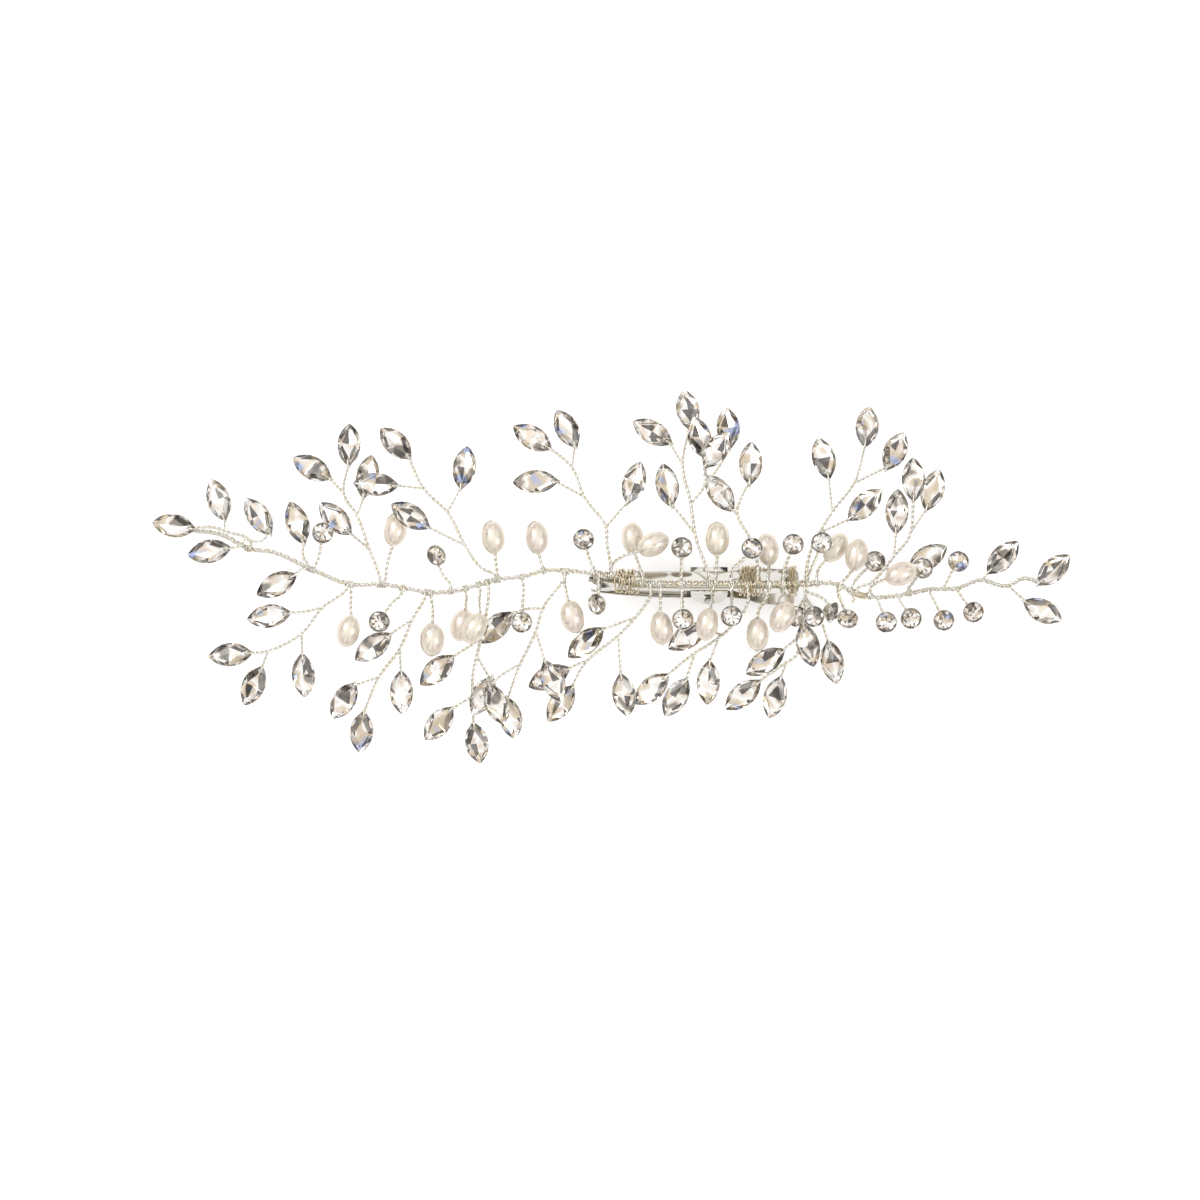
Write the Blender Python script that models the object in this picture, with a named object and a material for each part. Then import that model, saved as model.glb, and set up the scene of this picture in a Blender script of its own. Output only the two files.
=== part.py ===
"""A rhinestone hair clip: a wire vine of crystals, pearls and rhinestones lashed to a double-prong clip.

The clip lies face up with its length along X.  The vine is a shallow dome over it: the stem crosses the
clip at the top, and the outermost crystals come down to the surface that the clip's lever rests on.
Each sprig is a branch wire with its crystals, and each pearl and rhinestone is a drop on its own stalk.
Lengths are metres; the layout lists are millimetres in plan, drawn from the middle of the clip.
"""

import math

import bmesh
import bpy
from mathutils import Matrix, Vector

MM = 0.001

# ---------------------------------------------------------------- driving dimensions
VINE_LENGTH = 195 * MM
VINE_WIDTH = 80.6 * MM
DOME_DROP = 10.8 * MM
DOME_HALF_WIDTH = 42 * MM
DOME_LEFT_REACH = 93 * MM
DOME_RIGHT_REACH = 58 * MM

STEM_DIAMETER = 1.1 * MM
BRANCH_DIAMETER = 0.7 * MM
TWIG_DIAMETER = 0.6 * MM

CRYSTAL_LENGTH = 9.8 * MM
CRYSTAL_WIDTH = 4.9 * MM
CRYSTAL_THICKNESS = 2.6 * MM
PEARL_LENGTH = 7.0 * MM
PEARL_WIDTH = 5.0 * MM
RHINESTONE_DIAMETER = 4.6 * MM
RHINESTONE_HEIGHT = 2.6 * MM

JAW_LENGTH = 25.4 * MM
TAIL_LENGTH = 18.8 * MM
HINGE_X = 2.9 * MM
ARM_WIDTH = 4.1 * MM
TAIL_WIDTH = 5.4 * MM
ARM_THICKNESS = 0.8 * MM
PRONG_THICKNESS = 0.7 * MM
PRONG_SLOT = 1.3 * MM
HINGE_DEPTH = 3.0 * MM
PIN_DIAMETER = 1.2 * MM
EAR_LENGTH = 7.8 * MM
EAR_DEPTH = 6.3 * MM
EAR_THICKNESS = 0.6 * MM
JAW_PLATE_DEPTH = 4.9 * MM
LEVER_DROP = 9.0 * MM
SPRING_WIRE = 0.5 * MM
SPRING_TURNS = 3.5
LASHING_WIRE = 0.5 * MM

ROLL = math.radians(-20)
CLIP_SHIFT_Y = 0.25 * MM
CLEARANCE = 0.3 * MM
STONE_CLEARANCE = 0.8 * MM
SUNK_STEP = 2.4 * MM
BITE = 0.9 * MM
WOBBLE = math.radians(6)
WOBBLE_WAVE_X = 1.7 * MM
WOBBLE_WAVE_Y = 2.3 * MM

# How the clip's plates are finished.
TAIL_SHOULDER = 2.0 * MM
TAIL_CORNER = 0.8 * MM
SHOULDER_GAP = 1.2 * MM
SLOT_TO_EAR = 1.4 * MM
LUG_WALL = 0.6 * MM
PIN_HEAD = 0.5 * MM
TIP_SETBACK = 0.5 * MM
LEVER_SETBACK = 0.7 * MM
SPRING_LEG_REACH = 1.3 * MM

# The size of the vine that the layout lists are drawn for.
DRAWN_LENGTH = 195 * MM
DRAWN_WIDTH = 80.6 * MM

# Heights of the wires' middles over the stem's middle.
DROP_LEVEL = 0.35 * MM
SPRIG_LEVEL = DROP_LEVEL + BRANCH_DIAMETER + CLEARANCE + 0.1 * MM

# ---------------------------------------------------------------- layout in plan, millimetres
STEM = [
    (-106, 10.9), (-100, 10), (-94, 7), (-89, 6.3), (-80, 2.3), (-72.5, -0.5), (-66, -0.5),
    (-60, -1.5), (-56, -2.2), (-50, -1.8), (-42, 0.5), (-36.4, 1.1), (-31.4, 2.4), (-22, 1.9),
    (-17.5, 1.4), (-14, 0.1), (-10, -0.4), (20, -0.4), (25.3, -0.3), (29.1, -0.3), (33.4, -2.2),
]
# The stem's right end is tied on at a knot and carries its own stones.
TAIL = [(35.4, -2.9), (38.2, -3.2), (42.2, -2.9), (49.8, -1.5), (55, -1.3), (60, 0.4), (65.7, -0.8)]

# Sprig: its wires, thickest first, its crystals as (base, heading in degrees, layer), and its
# rhinestones as (middle, how far the face leans, towards which heading, layer).
SPRIGS = {
    "sprig_left_tip": {
        "wires": [
            [(-93.6, 8.4), (-98.6, 10.6), (-102, 11.6), (-106.4, 11.4)],
            [(-99.2, 10.9), (-99.3, 13.6)],
            [(-95, 9), (-96, 7.6), (-98.4, 7.2)],
            [(-94.4, 8.8), (-91.2, 8.8), (-89.6, 10.6)],
        ],
        "crystals": [
            ((-105.4, 11.3), 172, 0),
            ((-99.2, 12.9), 109, 0),
            ((-97.8, 7.3), 190, 0),
            ((-89.4, 9.9), 125, 0),
        ],
    },
    "sprig_left_shoulder": {
        "wires": [
            [(-81.2, 3.4), (-82.4, 5), (-82.4, 8.6)],
            [(-81.2, 3.4), (-83.2, 2.5), (-84.6, 1.4)],
        ],
        "crystals": [((-82.3, 7.9), 109, 0), ((-83.9, 1.7), 207, 0)],
    },
    "sprig_left_lower": {
        "wires": [
            [(-73.4, -1.6), (-78.5, -5.5), (-83, -11), (-90, -14.5), (-94, -15)],
            [(-78.2, -5.3), (-82, -6.2), (-85.7, -6.5)],
            [(-82.8, -10.8), (-82.9, -15.4)],
            [(-90, -14.5), (-91.5, -18.2)],
        ],
        "crystals": [
            ((-85.1, -6.4), 189, 0),
            ((-82.9, -14.9), 273, 0),
            ((-91.3, -17.7), 244, 0),
            ((-93.4, -14.9), 185, 0),
        ],
    },
    "sprig_left_upper": {
        "wires": [
            [(-66.2, 0.6), (-68.3, 6.2), (-71.2, 14), (-74, 18.5), (-73.2, 25)],
            [(-73.9, 18.7), (-77.2, 22.2)],
            [(-71.2, 14), (-70, 18.2)],
            [(-68.5, 7), (-72.7, 10.4)],
        ],
        "crystals": [
            ((-73.1, 24.4), 90, 0),
            ((-76.7, 21.8), 151, 0),
            ((-69.9, 17.5), 80, 0),
            ((-72.2, 9.9), 135, 1),
        ],
    },
    "sprig_mid_upper": {
        "wires": [
            [(-41.8, 1.3), (-45, 3), (-48, 7), (-52, 14.5), (-57, 19.5), (-60.3, 26.5)],
            [(-52, 14.8), (-49.4, 20)],
            [(-57.3, 19.6), (-62.9, 20.4)],
            [(-48.2, 7.8), (-56.3, 11.6)],
        ],
        "crystals": [
            ((-59.9, 26), 135, 0),
            ((-49.3, 19.4), 82, 0),
            ((-62.3, 20.3), 177, 1),
            ((-55.7, 11.3), 148, 1),
        ],
    },
    "sprig_mid_lower": {
        "wires": [
            [(-56.8, -3.2), (-59.5, -8), (-62, -13.8), (-66.5, -20), (-69.9, -27.8)],
            [(-59.4, -7.8), (-64.3, -11.1)],
            [(-62, -14), (-62, -19.1)],
            [(-66.5, -20), (-72, -21.8)],
        ],
        "crystals": [
            ((-63.9, -10.8), 216, 0),
            ((-62, -18.5), 271, 0),
            ((-71.6, -21.1), 237, 0),
            ((-70, -27.2), 264, 0),
        ],
    },
    "sprig_inner_lower": {
        "wires": [
            [(-43.4, -1.2), (-43.8, -6), (-45.2, -12.5), (-46.8, -20), (-46.9, -30.1)],
            [(-45.1, -12), (-51, -15.8)],
            [(-47, -24), (-51.5, -26.9)],
            [(-45.9, -15.6), (-42.9, -20.1)],
        ],
        "crystals": [
            ((-50.7, -15.4), 221, 0),
            ((-51.1, -26.3), 230, 0),
            ((-46.9, -29.5), 280, 0),
            ((-42.6, -19.7), 243, 0),
        ],
    },
    "sprig_fan_lower": {
        "wires": [
            [(-27.4, 0.9), (-28.4, -0.6), (-31.7, -4.9), (-33.6, -10.6), (-36.9, -17.5), (-38, -24.8)],
            [(-32, -5.6), (-35.4, -5.6), (-38.8, -6.8)],
            [(-36.8, -17), (-41.6, -20.2), (-43.4, -21.8)],
            [(-33.4, -10.4), (-31.7, -17)],
        ],
        "crystals": [
            ((-38.4, -6.3), 222, -1),
            ((-43.5, -21.2), 291, 2),
            ((-39.8, -24.1), 281, 1),
            ((-31.8, -16.4), 293, 1),
        ],
    },
    "sprig_upper": {
        "wires": [
            [(-17.8, 3.2), (-18.6, 8), (-18.8, 11.5), (-23.3, 17.8), (-26, 24.1), (-30.9, 28.4)],
            [(-26, 24), (-25.1, 28.9)],
            [(-23.3, 17.9), (-29.3, 21.3)],
            [(-18.8, 11.6), (-14.3, 17)],
        ],
        "crystals": [
            ((-30.2, 28), 149, 0),
            ((-24.9, 28.3), 118, 0),
            ((-28.7, 21.3), 182, 0),
            ((-14.3, 16.3), 73, 0),
        ],
    },
    "sprig_tip_lower": {
        "wires": [
            [(-9.4, -2.6), (-12.5, -7.3), (-16.2, -11.2), (-22.9, -16.8), (-26, -22.3)],
            [(-12.6, -7.4), (-16, -8.7), (-19.8, -10)],
            [(-16.2, -11.2), (-15.9, -19.7)],
            [(-22, -16), (-26.9, -18.3)],
        ],
        "crystals": [
            ((-19.3, -9.6), 220, 0),
            ((-15.8, -19.1), 280, 1),
            ((-26.3, -18), 205, 0),
            ((-25.6, -21.7), 235, 0),
        ],
    },
    "sprig_crown": {
        "wires": [
            [(2.7, 1.2), (0.2, 8.8), (-1.1, 17), (-2.7, 24.7), (-1, 32.6)],
            [(-2.7, 24.7), (-5.4, 29.5)],
            [(0, 10), (-5.1, 16.3)],
            [(-1, 16.4), (1.9, 20.4), (2, 26.6)],
            [(1.9, 20.4), (5.2, 24.6), (7.4, 28.7)],
            [(1.9, 22.4), (2.2, 24.4)],
        ],
        "crystals": [
            ((-0.9, 32), 98, 0),
            ((-4.8, 29.2), 150, 0),
            ((-5, 15.7), 101, 0),
            ((2, 26), 104, 1),
            ((7.4, 28), 95, 0),
            ((1.8, 23.8), 56, 2),
        ],
    },
    "sprig_rear_upper": {
        "wires": [
            [(12.9, 4.4), (11.3, 9.4), (8.7, 14.5), (9.5, 17.5), (11.5, 21)],
            [(9, 14.2), (7.6, 15.4)],
        ],
        "crystals": [((11.5, 20.3), 88, 0), ((8.1, 14.8), 126, -1)],
    },
    "sprig_rear_lower": {
        "wires": [
            [(10.9, -4.6), (7.1, -9.8), (3, -13), (0, -14.8), (-6.2, -19.7)],
            [(0, -14.8), (-2, -20.8)],
            [(5.2, -11.6), (2.9, -17.1)],
            [(5.4, -11.2), (1.9, -9.2)],
        ],
        "crystals": [
            ((-5.6, -19.3), 222, 0),
            ((-1.7, -20.1), 240, 0),
            ((2.9, -16.4), 268, 0),
            ((2.5, -8.8), 213, -1),
        ],
    },
    "sprig_tail_lower": {
        "wires": [
            [(23, -1.4), (23, -9), (21.2, -15.3), (17.5, -18), (13.2, -21)],
            [(22.4, -10.8), (18.4, -14.4)],
            [(19.2, -16.8), (17.9, -20.4)],
            [(23, -4), (22.4, -9.3)],
            [(23, -3.4), (26.2, -8), (27.9, -12.7)],
            [(23, -3.2), (21.6, -5.6)],
            [(23, -3), (24.6, -5)],
            [(23.1, -2), (26.6, -3.4), (27.6, -5.2)],
        ],
        "crystals": [
            ((18.8, -14.1), 213, 0),
            ((13.7, -20.6), 220, 0),
            ((18, -19.7), 255, 0),
            ((22.3, -8.5), 285, 1),
            ((27.8, -12.1), 282, 0),
        ],
        "rhinestones": [((21.3, -7.2), 10, 270, 0), ((24.6, -7.2), 8, 270, 2), ((28.4, -6.3), 62, 340, 1)],
    },
    "sprig_tail_upper": {
        "wires": [
            [(23.2, 1.4), (24.1, 6.4), (28.6, 14.6), (33.3, 20.8), (35.8, 28.9)],
            [(33.2, 20.7), (40.6, 24.2)],
            [(28.6, 14.8), (28.1, 22.2)],
            [(26.4, 10.4), (32.7, 13.5)],
        ],
        "crystals": [
            ((35.8, 28.3), 83, 0),
            ((40.1, 23.5), 63, 0),
            ((28.2, 21.5), 104, 0),
            ((32.1, 12.9), 43, 0),
        ],
    },
    "sprig_right_upper": {
        "wires": [
            [(34.2, -1.2), (37, 0), (39.5, 2.6), (41.8, 5.6), (44.9, 9.5), (45.9, 17.4)],
            [(41.5, 5.4), (42.2, 10.6)],
            [(45, 10), (48.8, 15.5)],
            [(39.6, 2.7), (45.3, 3.2)],
        ],
        "crystals": [
            ((42.2, 10), 87, 0),
            ((45.9, 16.8), 90, 1),
            ((48.6, 14.9), 72, 0),
            ((44.8, 2.7), 30, -1),
        ],
    },
    "sprig_right_tail": {
        "wires": [
            TAIL + [(69.5, 0.8), (73, -0.2)],
            [(66, -0.6), (69.9, -3.7)],
            [(60.2, 0.3), (61.9, 2.3)],
            [(52.2, -1.4), (53.4, 1), (54.4, 3)],
            [(38.2, -3.2), (38.8, -5), (39.6, -6.8)],
            [(42.3, -2.9), (43.4, -4.6), (44.6, -6.2)],
            [(49, -1.7), (50.3, -4), (51.6, -6.6)],
            [(55, -1.3), (56.2, -3.2), (57.6, -5)],
        ],
        "crystals": [
            ((61.6, 1.7), 46, 0),
            ((72.4, -0.7), 43, 0),
            ((69.3, -4), -26, 0),
        ],
        "rhinestones": [
            ((55.4, 4.3), 10, 60, 0),
            ((40.1, -8.4), 10, 270, 0),
            ((45.3, -7.6), 10, 300, 0),
            ((52.3, -8), 12, 300, 0),
            ((58.6, -6.3), 12, 310, 0),
        ],
    },
}

# Pearl drop: its middle, its heading away from the stalk, its stalk and its layer.
PEARLS = [
    ((-73, -10.4), 255, [(-72.4, -1), (-72.5, -4.5)], 0),
    ((-63, 11), 82, [(-65.2, 0.8), (-64.5, 5)], 0),
    ((-42.4, 9.4), 97, [(-41.5, 1), (-41.9, 4)], 0),
    ((-55.2, -12.1), 270, [(-55.6, -2.8), (-55.2, -6)], 0),
    ((-49.1, -9.1), 255, [(-48, -1.5), (-48.2, -4)], -1),
    ((-46.4, -9.7), 240, [(-45.2, -0.7), (-45.4, -4)], 1),
    ((-33.2, 9.3), 95, [(-31.8, 2.5), (-32.4, 4)], 0),
    ((-13.2, 9.2), 95, [(-11, 1), (-11.8, 3.4)], -1),
    ((-8.9, 7.9), 26, [(-17.6, 3.2), (-16.6, 4.6)], 1),
    ((4.7, 9.1), 90, [(4.2, 1), (4.4, 3.4)], 0),
    ((15.2, 6.9), 98, [(15.2, 0.6), (15.4, 1.8)], -1),
    ((29.5, 7.2), 55, [(25.4, 0.6), (26, 3)], -1),
    ((33.8, 5.7), 78, [(31, 0.2), (32, 1.2)], 1),
    ((43, 1.7), 20, [(36.8, -1.3), (38, -0.2)], 1),
    ((-25.9, -7.3), 284, [(-27.5, 0.5), (-27.2, -2)], 0),
    ((-7.1, -9.7), 278, [(-7.4, -1.6), (-7.4, -4)], 0),
    ((2.4, -8.9), 260, [(3.6, -1.8), (3.4, -4)], 1),
    ((13, -11), 270, [(15.4, -1.8), (14.6, -4), (13.2, -6)], 0),
    ((18.1, -7.3), 242, [(18.4, -1.8), (19, -3)], 1),
]

# Rhinestone drop: its middle, its stalk, how far its face leans, towards which heading, and its layer.
RHINESTONES = [
    ((-78.4, 10.3), [(-80.2, 3), (-79.3, 5)], 8, 90, 0),
    ((-66.4, -8.3), [(-61, -1.7), (-64, -4.6)], 8, 230, 0),
    ((-54.6, 5.5), [(-50.8, -1.5), (-53, 1.4)], 35, 30, 0),
    ((-36.5, -8.4), [(-36.2, 1), (-36.2, -3)], 10, 270, 1),
    ((-23.5, 8.9), [(-21, 2.2), (-22, 4)], 8, 90, 0),
    ((-2.9, 7.2), [(-3.1, 0.4), (-3, 2.4)], 8, 90, 0),
    ((11.8, 7), [(7.4, 0.4), (7.8, 2.6), (9.6, 4.4)], 6, 90, 1),
    ((20.5, 7.9), [(18.4, 0.4), (18.8, 3)], 8, 60, 0),
    ((26.4, 8.2), [(23.4, 0.4), (24.4, 3)], 12, 120, 1),
    ((37.8, 4.3), [(32.4, -1.4), (34.6, 1.4)], 10, 60, -1),
    ((47.7, 2.9), [(43.8, -2.3), (45.4, -0.6)], 10, 45, 0),
    ((-20.6, -4.6), [(-20.4, 1.6), (-20.4, -1)], 40, 200, 0),
    ((-2.7, -7.8), [(-2.8, -1), (-2.8, -4)], 8, 270, 0),
    ((7.4, -7.1), [(7.6, -1.4), (7.6, -3)], 8, 270, 1),
    ((32, -7.6), [(29.4, -0.6), (30.6, -4)], 30, 250, 0),
]

# Lashing: from and to, along the clip from the hinge, millimetres.
LASHINGS = {
    "lashing_front": (-19.6, -15.4),
    "lashing_rear": (6.4, 10.8),
    "lashing_tail": (16.9, 18.3),
}

# ---------------------------------------------------------------- scene and materials
for old in list(bpy.data.objects):
    bpy.data.objects.remove(old, do_unlink=True)

ROOT = bpy.data.objects.new("hair_clip_frame", None)
bpy.context.scene.collection.objects.link(ROOT)


def material(name, colour, roughness, metallic):
    made = bpy.data.materials.new(name)
    made.use_nodes = True
    shader = made.node_tree.nodes["Principled BSDF"]
    shader.inputs["Base Color"].default_value = (*colour, 1)
    shader.inputs["Roughness"].default_value = roughness
    shader.inputs["Metallic"].default_value = metallic
    made.diffuse_color = (*colour, 1)
    return made


CHAMPAGNE_WIRE = (0.72, 0.66, 0.58)
CRYSTAL_WHITE = (0.86, 0.87, 0.90)
PEARL_IVORY = (0.93, 0.89, 0.82)
BRIGHT_NICKEL = (0.78, 0.78, 0.77)


def finished(obj, colour, roughness=0.2, metallic=0.0):
    """Gives an object its own material, smooth faces and its place under the root."""
    obj.data.materials.clear()
    obj.data.materials.append(material(obj.name, colour, roughness, metallic))
    obj.parent = ROOT
    return obj


def linked(name, bm, helper=False):
    mesh = bpy.data.meshes.new(name)
    bmesh.ops.recalc_face_normals(bm, faces=bm.faces)
    bm.to_mesh(mesh)
    bm.free()
    obj = bpy.data.objects.new(name, mesh)
    bpy.context.scene.collection.objects.link(obj)
    if helper:
        obj.hide_render = True
        obj.display_type = "WIRE"
    return obj


def combined(target, helper, operation):
    helper.parent = target.parent
    step = target.modifiers.new(operation.title() + helper.name, "BOOLEAN")
    step.operation = operation
    step.solver = "EXACT"
    step.object = helper


# ---------------------------------------------------------------- the vine's surface
def placed(point):
    """A layout point in metres, stretched to the vine's length and width."""
    return Vector((
        point[0] * MM * VINE_LENGTH / DRAWN_LENGTH,
        point[1] * MM * VINE_WIDTH / DRAWN_WIDTH,
    ))


def dome(point):
    """The stem's height at a plan point: level over the clip, falling away around it."""
    tip, tail = HINGE_X - JAW_LENGTH, HINGE_X + TAIL_LENGTH
    left = max(0, tip - point[0]) / (DOME_LEFT_REACH * VINE_LENGTH / DRAWN_LENGTH)
    right = max(0, point[0] - tail) / (DOME_RIGHT_REACH * VINE_LENGTH / DRAWN_LENGTH)
    side = max(0, abs(point[1]) - ARM_WIDTH) / (DOME_HALF_WIDTH * VINE_WIDTH / DRAWN_WIDTH - ARM_WIDTH)
    return -DOME_DROP * (left**2 + right**2 + side**2)


def raised(point, height):
    return Vector((point[0], point[1], dome(point) + height))


def toward(heading):
    return Vector((math.cos(math.radians(heading)), math.sin(math.radians(heading))))


def wobble(point):
    """A small turn about a stone's own length, so that no two stones face quite the same way."""
    return WOBBLE * math.sin(point[0] / WOBBLE_WAVE_X + point[1] / WOBBLE_WAVE_Y)


def gap_between(a, b):
    """The least plan distance between two routes, each a list of points."""
    return min(segment_gap(p, q, r, s) for p, q in zip(a, a[1:]) for r, s in zip(b, b[1:]))


def segment_gap(p, q, r, s):
    def cross(u, v):
        return u.x * v.y - u.y * v.x

    def reach(point, start, end):
        along = end - start
        share = min(1, max(0, (point - start).dot(along) / max(along.length_squared, 1e-18)))
        return (point - start - along * share).length

    if cross(q - p, r - p) * cross(q - p, s - p) < 0 and cross(s - r, p - r) * cross(s - r, q - r) < 0:
        return 0
    return min(reach(p, r, s), reach(q, r, s), reach(r, p, q), reach(s, p, q))


class Stone:
    """A crystal, pearl or rhinestone in plan, with the height that it settles at."""

    def __init__(self, owner, start, end, width, thickness, layer):
        self.owner, self.layer = owner, layer
        self.start, self.end = start, end
        self.width, self.thickness = width, thickness
        self.height, self.lean, self.heading = min(layer, 0) * SUNK_STEP, None, 0

    def slices(self):
        """Discs that fill the stone: plan middle, radius and half height."""
        count = 5
        for k in range(count):
            share = (k + 0.5) / count
            swell = math.sin(math.pi * share) ** 0.6
            yield self.start.lerp(self.end, share), self.width / 2 * swell, self.thickness / 2 * swell


def lift_over(first, second):
    """How far the first disc's middle must be above the second's."""
    near = (first[0] - second[0]).length / (first[1] + second[1] + STONE_CLEARANCE)
    return (first[2] + second[2] + STONE_CLEARANCE) * math.sqrt(1 - near**2) if near < 1 else None


def settle(stones, wires):
    """Raises each stone, lower layers first, until it clears the wires and stones that it covers."""
    done = []
    for stone in sorted(stones, key=lambda each: each.layer):
        needed = [stone.height]
        for owner, route, radius, level, carried in wires:
            above = carried is not None and carried.layer > stone.layer
            if owner == stone.owner or stone.layer < 0 or above:
                continue
            height = level if carried is None else (level + carried.height) / 2
            for middle, across, tall in stone.slices():
                near = gap_between([middle, middle], route) / (across + radius + STONE_CLEARANCE)
                if near < 1:
                    needed.append(height + (tall + radius + STONE_CLEARANCE) * math.sqrt(1 - near**2))
        for other in done:
            lifts = [lift_over(a, b) for a in stone.slices() for b in other.slices()]
            needed += [other.height + lift for lift in lifts if lift is not None]
        stone.height = max(needed)
        done.append(stone)


# ---------------------------------------------------------------- shapes
def along(start, end, turn=0.0):
    """A frame at start with X towards end and Z upwards, turned about X."""
    x = (end - start).normalized()
    y = Vector((0, 0, 1)).cross(x).normalized()
    facing = Matrix((x, y, x.cross(y))).transposed().to_4x4()
    return Matrix.Translation(start) @ facing @ Matrix.Rotation(turn, 4, "X")


def stand(obj, frame):
    obj.location = frame.to_translation()
    obj.rotation_euler = frame.to_euler()
    return obj


def rings_mesh(rings, closed_ends=True):
    """A skin over rings of points with equal counts, with its ends filled."""
    bm = bmesh.new()
    loops = [[bm.verts.new(point) for point in ring] for ring in rings]
    for low, high in zip(loops, loops[1:]):
        for i in range(len(low)):
            j = (i + 1) % len(low)
            bm.faces.new((low[i], low[j], high[j], high[i]))
    if closed_ends:
        bm.faces.new(loops[0])
        bm.faces.new(list(reversed(loops[-1])))
    return bm


def tube_mesh(route, radius, sides):
    """A tube round a route of 3-D points, mitred at its bends."""
    rings = []
    for i, point in enumerate(route):
        before = point - route[i - 1] if i else route[1] - point
        after = route[i + 1] - point if i + 1 < len(route) else before
        ahead = (before.normalized() + after.normalized()).normalized()
        across = ahead.cross(Vector((0, 0, 1))).normalized()
        up = across.cross(ahead)
        stretch = 1 / max(0.6, before.normalized().dot(ahead))
        rings.append([
            point
            + across * radius * stretch * math.cos(2 * math.pi * k / sides)
            + up * radius * math.sin(2 * math.pi * k / sides)
            for k in range(sides)
        ])
    return rings_mesh(rings)


def crystal_mesh():
    """A marquise crystal from its base at the origin along X: a girdle between two faceted domes."""
    rings = []
    for share, height in ((0.42, -0.5), (1.0, -0.04), (1.0, 0.08), (0.5, 0.5)):
        ring = []
        for k in range(8):
            angle = math.pi * k / 4
            side = math.copysign(abs(math.sin(angle)) ** 1.15, math.sin(angle))
            ring.append(Vector((
                CRYSTAL_LENGTH * (0.5 - 0.5 * share * math.cos(angle)),
                CRYSTAL_WIDTH * 0.5 * share * side,
                CRYSTAL_THICKNESS * height,
            )))
        rings.append(ring)
    return rings_mesh(rings)


def pearl_mesh():
    """A rice pearl about its middle, along X."""
    bm = bmesh.new()
    bmesh.ops.create_uvsphere(bm, u_segments=8, v_segments=6, radius=0.5)
    turn = Matrix.Rotation(math.pi / 2, 4, "Y")
    bmesh.ops.transform(bm, matrix=turn, verts=bm.verts)
    bmesh.ops.scale(bm, vec=(PEARL_LENGTH, PEARL_WIDTH, PEARL_WIDTH), verts=bm.verts)
    return bm


def rhinestone_mesh():
    """A round stone in its cup about its middle, facing +Z."""
    rings = []
    for share, height in ((0.7, -0.5), (1.0, -0.1), (1.0, 0.12), (0.56, 0.5)):
        rings.append([
            Vector((
                RHINESTONE_DIAMETER / 2 * share * math.cos(math.pi * k / 5),
                RHINESTONE_DIAMETER / 2 * share * math.sin(math.pi * k / 5),
                RHINESTONE_HEIGHT * height,
            ))
            for k in range(10)
        ])
    return rings_mesh(rings)


# ---------------------------------------------------------------- the vine
def stem_route():
    return [placed(point) for point in STEM]


def tail_route():
    return [placed(point) for point in TAIL]


def level_of(name):
    """A sprig's wires pass over the stem, but the tail runs on at the stem's own level."""
    return 0.0 if name == "sprig_right_tail" else SPRIG_LEVEL


def thickness_of(name, k):
    """A sprig's first wire is its branch, and the others are twigs."""
    if k:
        return TWIG_DIAMETER
    return STEM_DIAMETER if name == "sprig_right_tail" else BRANCH_DIAMETER


def off_the_stem(route, level):
    """The route from where it first clears the stem's side."""
    reach = STEM_DIAMETER / 2 + BRANCH_DIAMETER / 2 + CLEARANCE
    needed = math.sqrt(max(0.0, reach**2 - level**2))
    mains = (stem_route(), tail_route())
    steps = 24
    for start, end in zip(route, route[1:]):
        for k in range(steps):
            point = start.lerp(end, k / steps)
            if min(gap_between([point, point], main) for main in mains) >= needed:
                return [point] + route[route.index(end):]
    return route[-1:]


def stones_of(name):
    stones = []
    for base, heading, layer in SPRIGS[name]["crystals"]:
        start = placed(base)
        end = start + toward(heading) * CRYSTAL_LENGTH
        stones.append(Stone(name, start, end, CRYSTAL_WIDTH, CRYSTAL_THICKNESS, layer))
    for middle, lean, heading, layer in SPRIGS[name].get("rhinestones", []):
        stones.append(rhinestone_stone(name, middle, lean, heading, layer))
    return stones


def pearl_stone(name, middle, heading, layer):
    half = toward(heading) * PEARL_LENGTH / 2
    return Stone(name, placed(middle) - half, placed(middle) + half, PEARL_WIDTH, PEARL_WIDTH, layer)


def rhinestone_stone(name, middle, lean, heading, layer):
    reach = Vector((0.01 * MM, 0))
    height = RHINESTONE_HEIGHT + (RHINESTONE_DIAMETER - RHINESTONE_HEIGHT) * math.sin(math.radians(lean))
    stone = Stone(name, placed(middle), placed(middle) + reach, RHINESTONE_DIAMETER, height, layer)
    stone.lean, stone.heading = math.radians(lean), heading
    return stone


def make_stem():
    route = [raised(point, 0) for point in stem_route()]
    stem = linked("main_stem", tube_mesh(route, STEM_DIAMETER / 2, 7))
    finished(stem, CHAMPAGNE_WIRE, 0.3, 1.0)


def carried_by(route, stones):
    """The stone that a sprig's wire ends at, if it ends at one."""
    nearest = min(stones, key=lambda stone: (route[-1] - stone.start).length)
    return nearest if (route[-1] - nearest.start).length < RHINESTONE_DIAMETER * 0.75 else None


def climbing(route, low, end):
    """A route's 3-D points, climbing evenly from a height over the dome to its end's own height."""
    runs = [(b - a).length for a, b in zip(route, route[1:])]
    runs.append((end.to_2d() - route[-1]).length)
    rise = end.z - dome(end) - low
    return [raised(point, low + rise * sum(runs[:k]) / sum(runs)) for k, point in enumerate(route)] + [end]


def wire_route(name, route, stones, is_twig):
    """A sprig wire's 3-D points: a branch stays level until its last stone, and a twig climbs to its own."""
    stone, level = carried_by(route, stones), level_of(name)
    if stone is None:
        return [raised(point, level) for point in route]
    if stone.lean is None:
        bite = (stone.end - stone.start).normalized() * BITE
        end = raised(stone.start + bite, stone.height)
    else:
        end = behind_the_stone(stone, route[-1])
    if is_twig:
        return climbing(route[:-1], level, end)
    return [raised(point, level) for point in route[:-1]] + [end]


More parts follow.
